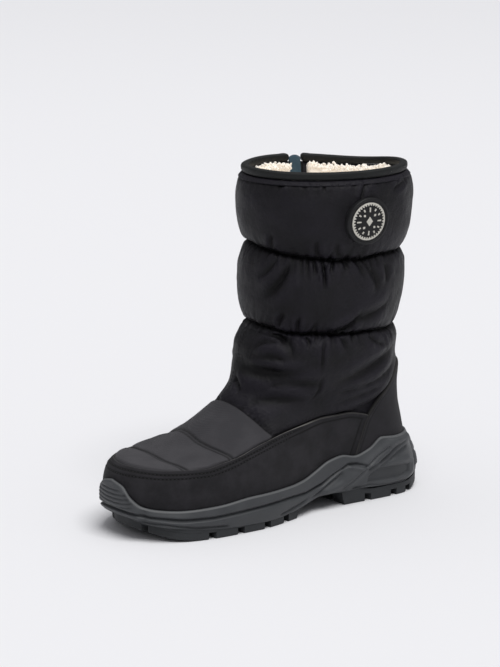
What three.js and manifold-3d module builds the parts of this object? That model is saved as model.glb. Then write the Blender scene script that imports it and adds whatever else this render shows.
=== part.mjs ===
// A quilted winter boot for the left foot: a padded shaft in three puffs, a softshell vamp, a mudguard
// and a heel counter over it, and a cupped sole with lugs. Millimetres. The boot is modelled with x from
// the heel to the toe, y towards the outer (lateral) side and z up, and the exported group turns the
// toe to -Y.
import * as THREE from "three";
import { ParametricGeometry } from "three/addons/geometries/ParametricGeometry.js";
import { mergeVertices } from "three/addons/utils/BufferGeometryUtils.js";
import Module from "manifold-3d";

const wasm = await Module();
wasm.setup();

// Driving dimensions of the foot and the sole.
const soleLength = 283;
const ballWidth = 104;
const waistWidth = 73;
const heelWidth = 80;
const toeSwing = 6;
const ankleHeight = 114;
const seamClearance = 0.3;
const cupClearance = 0.55;

// Driving dimensions of the shaft.
const bootHeight = 264;
const shaftDepth = 134;
const shaftWidth = 117;
const lowerSeamHeight = 140;
const upperSeamHeight = 199;
const puffSwell = 8;
const anklePuffSwell = 5;
const anklePuffHeight = 49;
const wallThickness = 3.5;

// Collar binding, zip and badge.
const collarSag = 4;
const bindingHeight = 6;
const bindingThickness = 6.5;
const bindingOverhang = 1.5;
const zipStation = 72;
const zipSlotWidth = 11;
const zipBottomHeight = 104;
const zipFade = 12;
const tapeThickness = 1.4;
const tapeDepth = 1.2;
const chainWidth = 5;
const chainHeight = 1.6;
const badgeDiameter = 36;
const badgeThickness = 2.4;
const badgeRim = 2;
const badgeRimRise = 0.8;
const badgeStation = 94.5;
const badgeDrop = 37;

// The zip's slider and its pull tab.
const sliderDrop = 26;
const sliderLength = 11;
const sliderWidth = 8.5;
const sliderThickness = 3.6;
const bridgeWidth = 2.2;
const bridgeRise = 3.4;
const bridgeBar = 1;
const bridgeSpan = 7;
const pinRadius = 0.7;
const pullLength = 24;
const pullWidth = 6.5;
const pullThickness = 1.5;
const eyeDepth = 5;
const eyeWidth = 3.2;

// Overlays.
const mudguardThickness = 1.9;
const vampThickness = 1.2;
const padHeight = 0.9;
const stitchGrooveWidth = 2;
const stitchGrooveDepth = 0.9;

// Sole.
const lugDepth = 5;
const plateThickness = 4.5;
const lipThickness = 2;
const toeSpring = 14;
const archRise = 6;
const heelBevel = 8;
const toeTuck = 4;
const bumperHeight = 43;
const edgeInset = 1.8;
const sideBelly = 2.4;
const notchWidth = 6;
const channelWidth = 4.8;
const channelWave = 3;
const insoleThickness = 4;
const insoleMargin = 1.2;

// Ribs and steps of the sole's side: a groove under the lip, a ridge that climbs to the heel, a pocket
// in the heel and bars across the toe bumper.
const ribDepth = 1.6;
const ribSpread = 4.5;
const grooveDepth = 1.3;
const grooveSpread = 1.6;
const grooveDrop = 7;
const ridgeLow = 15;
const ridgeHigh = 44;
const pocketHeight = 20;
const barDepth = 0.8;
const barPitch = 7;

const footColumns = 50;
const soleColumns = 60;
const weld = 1e-3;

const clamp = (x) => Math.min(1, Math.max(0, x));
const smooth = (x) => clamp(x) ** 2 * (3 - 2 * clamp(x));
const mix = (a, b, x) => a + (b - a) * x;
const bump = (x, centre, spread) => Math.exp(-(((x - centre) / spread) ** 2));

// Sections of the foot, from the feather line up to the ankle. Each is a loop through a point on the back
// of the heel and one on the front ridge. Heights are shares of the ankle height, back, front, nose and
// heelNose are shares of the sole length, and ball, waist and heel are half widths as shares of the
// ball, waist and heel widths. power is how square the nose is, and sag drops the loop under the ball.
const footSections = [
  { height: 0.237, back: 0.051, front: 0.965, frontHeight: 0.184, ball: 0.433, waist: 0.438,
    heel: 0.431, nose: 0.276, power: 2.3, heelNose: 0.127, sag: 0.055 },
  { height: 0.368, back: 0.058, front: 0.981, frontHeight: 0.307, ball: 0.452, waist: 0.466,
    heel: 0.456, nose: 0.269, power: 2.3, heelNose: 0.127, sag: 0.03 },
  { height: 0.482, back: 0.069, front: 0.973, frontHeight: 0.421, ball: 0.438, waist: 0.479,
    heel: 0.463, nose: 0.261, power: 2.25, heelNose: 0.129, sag: 0.01 },
  { height: 0.579, back: 0.078, front: 0.94, frontHeight: 0.478, ball: 0.409, waist: 0.486,
    heel: 0.463, nose: 0.29, power: 2.15, heelNose: 0.131, sag: 0 },
  { height: 0.649, back: 0.083, front: 0.89, frontHeight: 0.513, ball: 0.394, waist: 0.493,
    heel: 0.463, nose: 0.396, power: 2, heelNose: 0.134, sag: 0 },
  { height: 0.711, back: 0.085, front: 0.813, frontHeight: 0.559, ball: 0.389, waist: 0.507,
    heel: 0.469, nose: 0.452, power: 2, heelNose: 0.141, sag: 0 },
  { height: 0.772, back: 0.087, front: 0.723, frontHeight: 0.64, ball: 0.394, waist: 0.534,
    heel: 0.487, nose: 0.438, power: 2, heelNose: 0.152, sag: 0 },
  { height: 0.842, back: 0.088, front: 0.634, frontHeight: 0.763, ball: 0.404, waist: 0.568,
    heel: 0.519, nose: 0.36, power: 2, heelNose: 0.17, sag: 0 },
  { height: 0.912, back: 0.09, front: 0.592, frontHeight: 0.864, ball: 0.418, waist: 0.61,
    heel: 0.556, nose: 0.283, power: 2, heelNose: 0.194, sag: 0 },
];

// Sections of the shaft, from the ankle to the collar. Heights are shares of the way from the ankle to
// the collar, centre is a share of the sole length, and depth and width are shares of the shaft's.
const shaftSections = [
  { height: 0, centre: 0.335, depth: 1.011, width: 0.821 },
  { height: 0.084, centre: 0.331, depth: 0.959, width: 0.846 },
  { height: 0.181, centre: 0.318, depth: 0.866, width: 0.829 },
  { height: 0.362, centre: 0.313, depth: 0.886, width: 0.855 },
  { height: 0.592, centre: 0.306, depth: 0.91, width: 0.889 },
  { height: 0.807, centre: 0.302, depth: 0.94, width: 0.94 },
  { height: 1, centre: 0.301, depth: 0.974, width: 0.974 },
];

const collarHeight = bootHeight - bindingHeight - seamClearance;
const featherHeight = footSections[0].height * ankleHeight;
const ballStation = 0.66 * soleLength;
const waistStation = 0.38 * soleLength;
const heelStation = 0.16 * soleLength;

const sections = [
  ...footSections.map((row) => ({
    height: row.height * ankleHeight,
    back: row.back * soleLength,
    front: row.front * soleLength,
    frontHeight: row.frontHeight * ankleHeight,
    ball: row.ball * ballWidth,
    waist: row.waist * waistWidth,
    heel: row.heel * heelWidth,
    nose: row.nose * soleLength,
    heelNose: row.heelNose * soleLength,
    power: row.power,
    sag: row.sag * ankleHeight,
  })),
  ...shaftSections.map((row) => {
    const height = mix(ankleHeight, collarHeight, row.height);
    const half = (row.depth * shaftDepth) / 2;
    const side = (row.width * shaftWidth) / 2;
    const middle = row.centre * soleLength;
    return { height, back: middle - half, front: middle + half, frontHeight: height,
      ball: side, waist: side, heel: side, nose: half, heelNose: half, power: 2, sag: 0 };
  }),
];

// A column of a table at a height, or along another column, by monotone cubic interpolation, which
// never overshoots the rows.
function column(rows, name, at, along = "height") {
  const last = rows.length - 2;
  let i = 0;
  while (i < last && at > rows[i + 1][along]) i += 1;
  const slope = (k) => (rows[k + 1][name] - rows[k][name]) / (rows[k + 1][along] - rows[k][along]);
  const tangent = (k) => {
    if (k === 0) return slope(0);
    if (k === rows.length - 1) return slope(k - 1);
    const [before, after] = [slope(k - 1), slope(k)];
    return before * after <= 0 ? 0 : (2 * before * after) / (before + after);
  };
  const span = rows[i + 1][along] - rows[i][along];
  const x = (at - rows[i][along]) / span;
  return (
    rows[i][name] * (1 + 2 * x) * (1 - x) ** 2 +
    rows[i + 1][name] * x ** 2 * (3 - 2 * x) +
    span * x * (1 - x) * (tangent(i) * (1 - x) - tangent(i + 1) * x)
  );
}

const sliderHeight = bootHeight - sliderDrop;
const badgeHeight = bootHeight - badgeDrop;

const footLevels = sections.slice(0, footSections.length).map((row) => row.height);
const sectionNames = Object.keys(sections[0]);
const sectionAt = (height) =>
  Object.fromEntries(sectionNames.map((name) => [name, column(sections, name, height)]));

// How far a loop has opened at a share of its nose's length: 0 at the tip and 1 past the nose.
const opened = (share, power) => (1 - (1 - clamp(share)) ** power) ** (1 / power);

// The curve of the last: the toe swings to the inner side.
const swing = (x) => -toeSwing * smooth((x - waistStation) / (soleLength - waistStation)) ** 1.2;

function halfWidth(row, x) {
  const waist = mix(row.heel, row.waist, smooth((x - heelStation) / (waistStation - heelStation)));
  return mix(waist, row.ball, smooth((x - waistStation) / (ballStation - waistStation)));
}

// The collar dips a little behind the zip, on the inner side.
const dipAngle = -2.55;
const dipSpread = 0.65;
function collarDip(angle, height) {
  const off = Math.atan2(Math.sin(angle - dipAngle), Math.cos(angle - dipAngle));
  const rise = smooth((height - upperSeamHeight) / (collarHeight - upperSeamHeight));
  return collarSag * rise * bump(off, 0, dipSpread);
}

// The base surface of the upper: angle 0 is the toe, a quarter turn the outer side, a half the heel.
function base(angle, height) {
  const row = sectionAt(height);
  const share = (1 + Math.cos(angle)) / 2;
  const x = mix(row.back, row.front, share);
  const round = opened((row.front - x) / row.nose, row.power) * opened((x - row.back) / row.heelNose, 2);
  const y = swing(x) + Math.sign(Math.sin(angle)) * halfWidth(row, x) * round;
  const z = mix(row.height, row.frontHeight, share) - row.sag * Math.sin(Math.PI * share) ** 2;
  return new THREE.Vector3(x, y, z - collarDip(angle, height));
}

const step = 1e-3;
function normal(angle, height) {
  const low = Math.max(featherHeight, height - 1);
  const high = Math.min(collarHeight, height + 1);
  const around = base(angle + step, height).sub(base(angle - step, height));
  const up = base(angle, high).sub(base(angle, low));
  return around.cross(up).normalize();
}

// The swell of the quilting over the base surface: two full puffs between the seams and one below them.
const pillow = (x) => (1 - Math.abs(2 * clamp(x) - 1) ** 2.6) ** 0.6;
const anklePuff = (x) => clamp(x * 5) ** 0.5 * (1 - smooth(x));
function swell(angle, height) {
  const fromZip = Math.abs(base(angle, height).x - zipStation) - zipSlotWidth / 2;
  const fade = Math.sin(angle) < 0 ? Math.sqrt(clamp(fromZip / zipFade)) : 1;
  if (height > upperSeamHeight)
    return fade * puffSwell * pillow((height - upperSeamHeight) / (collarHeight - upperSeamHeight));
  if (height > lowerSeamHeight)
    return fade * puffSwell * pillow((height - lowerSeamHeight) / (upperSeamHeight - lowerSeamHeight));
  return fade * anklePuffSwell * anklePuff((lowerSeamHeight - height) / anklePuffHeight);
}

const skin = (angle, height, out) => base(angle, height).addScaledVector(normal(angle, height), out);
const quilted = (angle, height, out) => skin(angle, height, swell(angle, height) + out);

// A closed solid from a parametric surface, or from any closed three.js geometry.
function solidOf(geometry) {
  const bare = geometry.index ? geometry.toNonIndexed() : geometry.clone();
  const extras = Object.keys(bare.attributes).filter((name) => name !== "position");
  extras.forEach((name) => bare.deleteAttribute(name));
  const merged = mergeVertices(bare, weld);
  const corners = merged.index.array;
  const build = (order) => {
    const kept = [];
    for (let i = 0; i < corners.length; i += 3) {
      const [a, b, c] = order.map((k) => corners[i + k]);
      if (a !== b && b !== c && c !== a) kept.push(a, b, c);
    }
    const vertProperties = merged.attributes.position.array;
    return new wasm.Manifold(new wasm.Mesh({ numProp: 3, vertProperties, triVerts: new Uint32Array(kept) }));
  };
  const solid = build([0, 1, 2]);
  return solid.volume() < 0 ? build([0, 2, 1]) : solid;
}

// A solid swept round the boot: the profile lists the same number of corners at every angle. A closed one
// comes back to its first corner.
function rings(profileAt, columns) {
  const rows = profileAt(0).length - 1;
  const profiles = Array.from({ length: columns }, (_, k) =>
    profileAt(k <= columns / 2 ? (2 * Math.PI * k) / columns : (-2 * Math.PI * (columns - k)) / columns),
  );
  const place = (turn, along, target) =>
    target.copy(profiles[Math.round(turn * columns) % columns][Math.round(along * rows)]);
  return solidOf(new ParametricGeometry(place, columns, rows));
}

// An open profile swept the same way, closed by caps that run across from side to side.
function cappedRings(profileAt, columns) {
  const across = (angle, end) => profileAt(angle).at(end).add(profileAt(-angle).at(end)).multiplyScalar(0.5);
  return rings((angle) => [across(angle, 0), ...profileAt(angle), across(angle, -1)], columns);
}

const levels = (low, high, count) => Array.from({ length: count + 1 }, (_, i) => mix(low, high, i / count));

// A shell between two offsets of the upper's surface, over a range of heights. Its inside runs up like
// the upper's outside, so the two are split into the same facets.
function shell(inner, outer, heights) {
  return rings((angle) => {
    const up = heights.map((height) => inner(angle, height));
    const down = [...heights].reverse().map((height) => outer(angle, height));
    return [...up, ...down, up[0]];
  }, footColumns);
}

// A prism across the boot, from its corners in the side view.
function sidePrism(corners) {
  const shape = new THREE.Shape(corners.map(([x, z]) => new THREE.Vector2(x, z)));
  const prism = new THREE.ExtrudeGeometry(shape, { depth: 2 * ballWidth, bevelEnabled: false });
  return solidOf(prism.rotateX(Math.PI / 2).translate(0, ballWidth, 0));
}

function block(low, high) {
  const size = high.clone().sub(low);
  const middle = high.clone().add(low).multiplyScalar(0.5);
  return solidOf(new THREE.BoxGeometry(size.x, size.y, size.z).translate(middle.x, middle.y, middle.z));
}

// Edges of the panels in the side view. Stations are shares of the sole length, and levels are shares
// of the ankle height.
const edgePoints = (rows) => rows.map((row) => [row.station * soleLength, row.level * ankleHeight]);
const edgeCurve = (rows, count) =>
  new THREE.SplineCurve(edgePoints(rows).map(([x, z]) => new THREE.Vector2(x, z)))
    .getPoints(count)
    .map((point) => [point.x, point.y]);

const mudguardEdge = [
  { station: 1.045, level: 0.44 },
  { station: 0.967, level: 0.46 },
  { station: 0.899, level: 0.452 },
  { station: 0.81, level: 0.452 },
  { station: 0.732, level: 0.48 },
  { station: 0.654, level: 0.527 },
  { station: 0.566, level: 0.58 },
  { station: 0.478, level: 0.625 },
  { station: 0.399, level: 0.657 },
  { station: 0.331, level: 0.658 },
  { station: 0.272, level: 0.628 },
  { station: 0.213, level: 0.57 },
];
const counterFrontEdge = [
  { station: 0.317, level: 0.1 },
  { station: 0.293, level: 0.355 },
  { station: 0.277, level: 0.47 },
  { station: 0.264, level: 0.56 },
  { station: 0.249, level: 0.62 },
  { station: 0.213, level: 0.74 },
];
const counterTopEdge = [
  { station: 0.311, level: 0.655 },
  { station: 0.257, level: 0.685 },
  { station: 0.211, level: 0.742 },
  { station: 0.176, level: 0.81 },
  { station: 0.153, level: 0.875 },
  { station: 0.106, level: 0.93 },
  { station: -0.002, level: 0.96 },
];
const vampBackEdge = [
  { station: 0.561, level: 0.45 },
  { station: 0.672, level: 0.85 },
];
// The vamp's stitched lines: stations at the floor and at the ankle height.
const stitchLines = [
  { low: 0.732, high: 0.773 },
  { low: 0.867, high: 0.892 },
];

// The upper: one hollow wall, quilted outside and plain inside, open at the collar, the zip and the sole.
const ankleLevels = [0.18, 0.45, 0.68, 0.84, 0.95].map((share) =>
  mix(footLevels.at(-1), lowerSeamHeight, share),
);
const puffLevels = (low, high) => [0, 0.05, 0.19, 0.5, 0.81, 0.95, 1].map((share) => mix(low, high, share));
function makeUpper() {
  const lowerPuff = puffLevels(lowerSeamHeight, upperSeamHeight);
  const upperPuff = puffLevels(upperSeamHeight, collarHeight);
  const outside = [...footLevels, ...ankleLevels, ...lowerPuff, ...upperPuff.slice(1)];
  const foot = footLevels.filter((_, i) => i % 2 === 0);
  const inside = [...foot, ...levels(ankleHeight, collarHeight, 2)].reverse();
  const wall = rings((angle) => {
    const up = outside.map((height) => quilted(angle, height, 0));
    const down = inside.map((height) => skin(angle, height, -wallThickness));
    return [...up, ...down, up[0]];
  }, footColumns);
  return wall.subtract(zipBlock(zipSlotWidth, zipBottomHeight, bootHeight + bindingHeight));
}

// A block through the inner side of the shaft, centred on the zip.
function zipBlock(width, low, high) {
  const [far, near] = [-shaftWidth, -shaftWidth / 5];
  return block(
    new THREE.Vector3(zipStation - width / 2, far, low),
    new THREE.Vector3(zipStation + width / 2, near, high),
  );
}

// Panels laid over the upper, out to the limits of the prisms that cut them.
const overlayTop = ankleHeight * 2;
const overlayBottom = -ankleHeight;
const overlayFront = soleLength * 2;
const overlayBack = -soleLength;

function overlayShell(thickness) {
  return shell(
    (angle, height) => quilted(angle, height, seamClearance),
    (angle, height) => quilted(angle, height, seamClearance + thickness),
    [...footLevels, ankleLevels[0]],
  );
}

// All that lies over or under an edge in the side view, and all that lies ahead of it or behind it.
const upFrom = (edge, limit) => sidePrism([...edge, [edge.at(-1)[0], limit], [edge[0][0], limit]]);
const alongFrom = (edge, limit) =>
  sidePrism([...edge, [edge.at(-1)[0], overlayTop], [limit, overlayTop], [limit, overlayBottom],
    [edge[0][0], overlayBottom]]);

function makeMudguard() {
  const under = upFrom(edgeCurve(mudguardEdge, 20), overlayBottom);
  const front = edgeCurve(counterFrontEdge, 8).map(([x, z]) => [x + seamClearance, z]);
  return overlayShell(mudguardThickness).intersect(under).intersect(alongFrom(front, overlayFront));
}

function makeHeelCounter() {
  const behind = alongFrom(edgeCurve(counterFrontEdge, 8), overlayBack);
  const under = upFrom(edgeCurve(counterTopEdge, 10), overlayBottom);
  return overlayShell(mudguardThickness).intersect(behind).intersect(under);
}

// The vamp: a softshell panel, padded between its stitched lines, which are cut in as grooves.
const lineAt = (line, level) => mix(line.low, line.high, level) * soleLength;
function vampPads(x, z) {
  const gaps = stitchLines.map((line) => Math.abs(x - lineAt(line, z / ankleHeight)));
  return padHeight * (1 - Math.exp(-Math.min(...gaps) / (4 * stitchGrooveWidth)));
}

function vampSurface(angle, height, out) {
  const at = base(angle, height);
  return quilted(angle, height, seamClearance + vampThickness + vampPads(at.x, at.z) + out);
}

function makeVamp() {
  const heights = footLevels.slice(1);
  const between = (low, high) =>
    shell(low, (angle, height) => vampSurface(angle, height, high), heights);
  const edge = edgeCurve(mudguardEdge, 20).map(([x, z]) => [x, z + seamClearance]);
  const panel = between((angle, height) => quilted(angle, height, seamClearance), 0)
    .intersect(upFrom(edge, overlayTop))
    .intersect(alongFrom(edgePoints(vampBackEdge), overlayFront));
  const grooves = between((angle, height) => vampSurface(angle, height, -stitchGrooveDepth), padHeight);
  return stitchLines.reduce((left, line) => {
    const corners = [[0, -1], [0, 1], [1, 1], [1, -1]].map(([level, side]) => [
      lineAt(line, level) + (side * stitchGrooveWidth) / 2,
      level * ankleHeight,
    ]);
    return left.subtract(grooves.intersect(sidePrism(corners)));
  }, panel);
}

// The collar binding: a folded tape round the top of the wall, parted at the zip.
function makeBinding() {
  const outer = bindingOverhang;
  const middle = outer - bindingThickness / 2;
  const centre = seamClearance + bindingHeight / 2;
  const corners = 6;
  const ring = rings((angle) => {
    const rim = base(angle, collarHeight);
    const away = normal(angle, collarHeight).setZ(0).normalize();
    return Array.from({ length: corners + 1 }, (_, i) => {
      const turn = (2 * Math.PI * ((i % corners) + 0.5)) / corners;
      const out = middle + ((bindingThickness / 2) * Math.cos(turn)) / Math.cos(Math.PI / corners);
      const point = rim.clone().addScaledVector(away, out);
      return point.setZ(rim.z + centre + (bindingHeight / 2) * Math.sin(turn));
    });
  }, footColumns);
  return ring.subtract(zipBlock(zipSlotWidth, 0, bootHeight + bindingHeight));
}

const zipMargin = 2;
const zipLevels = levels(zipBottomHeight - zipMargin, collarHeight, 8);
function makeZipTape() {
  const outer = -tapeDepth;
  const strip = shell(
    (angle, height) => skin(angle, height, outer - tapeThickness),
    (angle, height) => skin(angle, height, outer),
    zipLevels,
  );
  const cut = zipBlock(zipSlotWidth - 2 * seamClearance, zipBottomHeight + seamClearance, bootHeight);
  return strip.intersect(cut);
}

function makeZipChain() {
  const inner = -tapeDepth + 3 * seamClearance;
  const strip = shell(
    (angle, height) => skin(angle, height, inner),
    (angle, height) => skin(angle, height, inner + chainHeight),
    zipLevels,
  );
  const top = sliderHeight - sliderLength / 2 - seamClearance;
  return strip.intersect(zipBlock(chainWidth, zipBottomHeight + zipMargin, top));
}

// The slider sits at the top of the closed chain, and its pull hangs from a pin under the bridge.
const zipAngle = (() => {
  const row = sectionAt(sliderHeight);
  return -Math.acos((2 * (zipStation - row.back)) / (row.front - row.back) - 1);
})();
const tapeFace = [-1, 1].map((end) => skin(zipAngle, sliderHeight + (end * sliderLength) / 2, -tapeDepth).y);
const sliderSeat = Math.min(...tapeFace) - 2 * seamClearance;
const sliderFace = sliderSeat - sliderThickness;
const pinPlace = new THREE.Vector3(zipStation, sliderFace - bridgeRise / 2 + bridgeBar / 2, sliderHeight);

function makeSlider() {
  const shape = new THREE.Shape();
  const [half, end, neck] = [sliderWidth / 2, sliderLength / 2, sliderWidth / 3];
  shape.moveTo(-neck, -end);
  shape.lineTo(neck, -end);
  shape.quadraticCurveTo(half, 0, half, end * 0.6);
  shape.quadraticCurveTo(half, end, neck, end);
  shape.lineTo(-neck, end);
  shape.quadraticCurveTo(-half, end, -half, end * 0.6);
  shape.quadraticCurveTo(-half, 0, -neck, -end);
  const depth = sliderThickness;
  const plate = new THREE.ExtrudeGeometry(shape, { depth, bevelEnabled: false, curveSegments: 6 });
  const body = solidOf(plate.rotateX(Math.PI / 2).translate(zipStation, sliderSeat, sliderHeight));
  const bridge = block(
    new THREE.Vector3(zipStation - bridgeWidth / 2, sliderFace - bridgeRise, sliderHeight - bridgeSpan / 2),
    new THREE.Vector3(zipStation + bridgeWidth / 2, sliderFace + bridgeBar, sliderHeight + bridgeSpan / 2),
  );
  const [top, opening] = [sliderFace - bridgeRise + bridgeBar, bridgeSpan / 2 - bridgeBar];
  const hollow = block(
    new THREE.Vector3(zipStation - bridgeWidth, top, sliderHeight - opening),
    new THREE.Vector3(zipStation + bridgeWidth, sliderFace, sliderHeight + opening),
  );
  return body.add(bridge).subtract(hollow);
}

function makePull() {
  const shape = new THREE.Shape();
  const half = pullWidth / 2;
  const tip = -pullLength;
  shape.moveTo(-half, pinRadius);
  shape.lineTo(-half * 0.85, tip + half);
  shape.quadraticCurveTo(-half * 0.8, tip, 0, tip);
  shape.quadraticCurveTo(half * 0.8, tip, half * 0.85, tip + half);
  shape.lineTo(half, pinRadius);
  const eye = new THREE.Path();
  eye.moveTo(-eyeWidth / 2, -eyeDepth);
  eye.lineTo(eyeWidth / 2, -eyeDepth);
  eye.lineTo(eyeWidth / 2, -pinRadius);
  eye.lineTo(-eyeWidth / 2, -pinRadius);
  shape.holes.push(eye);
  const depth = pullThickness;
  const plate = new THREE.ExtrudeGeometry(shape, { depth, bevelEnabled: false, curveSegments: 6 });
  plate.rotateX(Math.PI / 2).translate(pinPlace.x, pinPlace.y + pullThickness / 2, pinPlace.z);
  const gap = block(
    new THREE.Vector3(pinPlace.x - eyeWidth / 2, pinPlace.y - pullThickness, pinPlace.z - eyeDepth),
    new THREE.Vector3(pinPlace.x + eyeWidth / 2, pinPlace.y + pullThickness, pinPlace.z + 2 * pinRadius),
  );
  const pin = new THREE.CylinderGeometry(pinRadius, pinRadius, eyeWidth + pinRadius, 12).rotateZ(Math.PI / 2);
  return solidOf(plate).subtract(gap).add(solidOf(pin.translate(pinPlace.x, pinPlace.y, pinPlace.z)));
}

// The badge: a plain round patch that follows the upper puff, with a raised rim.
function makeBadge() {
  const disc = (radius) => {
    const bar = new THREE.CylinderGeometry(radius, radius, shaftWidth, 32);
    return solidOf(bar.translate(badgeStation, shaftWidth, badgeHeight));
  };
  const layer = (low, high) =>
    shell(
      (angle, height) => quilted(angle, height, seamClearance + low),
      (angle, height) => quilted(angle, height, seamClearance + high),
      puffLevels(upperSeamHeight, collarHeight),
    );
  const patch = layer(0, badgeThickness + badgeRimRise).intersect(disc(badgeDiameter / 2));
  const sunk = layer(badgeThickness, 2 * badgeThickness).intersect(disc(badgeDiameter / 2 - badgeRim));
  return patch.subtract(sunk);
}

// The sole's outline at its widest, by the same angles as the upper.
const outlineRow = {
  ball: 0.5 * ballWidth,
  waist: 0.5 * waistWidth,
  heel: 0.5 * heelWidth,
};
const toeNose = 0.29 * soleLength;
const heelNose = 0.15 * soleLength;
const toePower = 2.4;
const heelPower = 2.2;
function outline(angle, inset) {
  const x = (soleLength * (1 + Math.cos(angle))) / 2;
  const round = opened((soleLength - x) / toeNose, toePower) * opened(x / heelNose, heelPower);
  const y = Math.sign(Math.sin(angle)) * halfWidth(outlineRow, x) * round;
  const shrink = 1 - (2 * inset) / soleLength;
  return new THREE.Vector3(mix(soleLength / 2, x, shrink), swing(x) + y * (1 - inset / outlineRow.ball), 0);
}

// The sole's bottom edge is drawn in, most of all at the toe.
const tuck = (angle) => edgeInset + toeTuck * smooth((Math.cos(angle) - 0.8) / 0.2);

// The tread's underside: flat under the heel and the ball, lifted at the toe and at the heel's edge. The
// plate above the lugs also rises at the waist.
function underside(x) {
  const share = x / soleLength;
  const toe = toeSpring * clamp((share - 0.78) / 0.22) ** 2.6;
  const heel = heelBevel * clamp((0.1 - share) / 0.1) ** 1.2;
  return toe + heel;
}
function plateBottom(x) {
  const share = x / soleLength;
  return underside(x) + lugDepth + archRise * smooth((share - 0.22) / 0.13) * smooth((0.58 - share) / 0.13);
}
const plateTop = (x) => plateBottom(x) + plateThickness;

// The top line of the cup, round each side from the toe (0) to the back (1), as shares of the height of
// the toe bumper.
const topLine = [
  { round: 0, level: 1 },
  { round: 0.045, level: 0.93 },
  { round: 0.074, level: 0.77 },
  { round: 0.109, level: 0.63 },
  { round: 0.159, level: 0.575 },
  { round: 0.228, level: 0.545 },
  { round: 0.307, level: 0.565 },
  { round: 0.396, level: 0.63 },
  { round: 0.485, level: 0.635 },
  { round: 0.519, level: 0.665 },
  { round: 0.553, level: 0.76 },
  { round: 0.592, level: 0.9 },
  { round: 0.626, level: 0.95 },
  { round: 0.66, level: 0.895 },
  { round: 0.699, level: 0.985 },
  { round: 0.741, level: 1.16 },
  { round: 0.792, level: 1.12 },
  { round: 1, level: 1.04 },
];
const roundShare = (angle) => Math.abs(Math.atan2(Math.sin(angle), Math.cos(angle))) / Math.PI;
const topHeight = (angle) => bumperHeight * column(topLine, "level", roundShare(angle), "round");

// The section height at which the upper's surface reaches a level, found by halving.
function heightAtLevel(angle, level) {
  let [low, high] = [featherHeight, ankleHeight];
  for (let i = 0; i < 30; i += 1) {
    const middle = (low + high) / 2;
    if (base(angle, middle).z < level) low = middle;
    else high = middle;
  }
  return (low + high) / 2;
}

const overlayOutside = seamClearance + mudguardThickness + cupClearance;

// The cup's floor, just under the lowest edge of the panels on either side.
function floorHeight(angle) {
  const edges = [-wallThickness, seamClearance + mudguardThickness].flatMap((out) =>
    [angle, -angle].map((side) => skin(side, featherHeight, out).z),
  );
  return Math.min(...edges) - seamClearance;
}

// Ribs and steps of the cup's side, in the side view.
function relief(x, z, top) {
  const share = x / soleLength;
  const groove = grooveDepth * bump(z, top - grooveDrop, grooveSpread) * smooth((share - 0.3) / 0.05);
  const ridgeLine = mix(ridgeLow, ridgeHigh, clamp((0.39 - share) / 0.24));
  const ridgeEnds = smooth((0.42 - share) / 0.06) * smooth((share - 0.06) / 0.08);
  const ridge = ribDepth * bump(z, ridgeLine, ribSpread) * ridgeEnds;
  const pocketEnds = smooth((0.26 - share) / 0.04) * smooth((share - 0.1) / 0.03);
  const pocket = ribDepth * bump(z, pocketHeight, ribSpread) * pocketEnds;
  const bars = barDepth * Math.cos((2 * Math.PI * z) / barPitch) * smooth((share - 0.91) / 0.04);
  return ridge + bars - groove - pocket;
}

function makeMidsole() {
  const sideLevels = [0, 0.11, 0.22, 0.33, 0.45, 0.57, 0.69, 0.81, 0.93, 1];
  const wallLevels = [1, 0.75, 0.5, 0.25, 0];
  return cappedRings((angle) => {
    const foot = outline(angle, tuck(angle));
    foot.setZ(plateTop(foot.x));
    const top = topHeight(angle);
    const rim = heightAtLevel(angle, top);
    const lip = skin(angle, rim, overlayOutside + lipThickness);
    const away = normal(angle, rim).setZ(0).normalize();
    const side = sideLevels.map((share) => {
      const point = foot.clone().lerp(lip, share);
      const belly = sideBelly * Math.sin(Math.PI * share ** 0.8) * (1 - 0.4 * share);
      const soften = share < 1 ? 1 : 0;
      return point.addScaledVector(away, (belly + relief(point.x, point.z, top)) * soften);
    });
    const inside = wallLevels.map((share) => skin(angle, mix(featherHeight, rim, share), overlayOutside));
    inside.at(-1).z = floorHeight(angle);
    return [...side, ...inside];
  }, soleColumns);
}

function makeOutsole() {
  const layer = (low, high) =>
    cappedRings((angle) => {
      const [bottom, top] = [outline(angle, tuck(angle)), outline(angle, tuck(angle))];
      return [bottom.setZ(low(bottom.x)), top.setZ(high(top.x))];
    }, soleColumns);
  const join = 0.5;
  const plate = layer(plateBottom, (x) => plateTop(x) - seamClearance);
  const lugs = layer(underside, (x) => plateBottom(x) + join);
  return plate.add(lugs.subtract(treadGrooves()));
}

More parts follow.
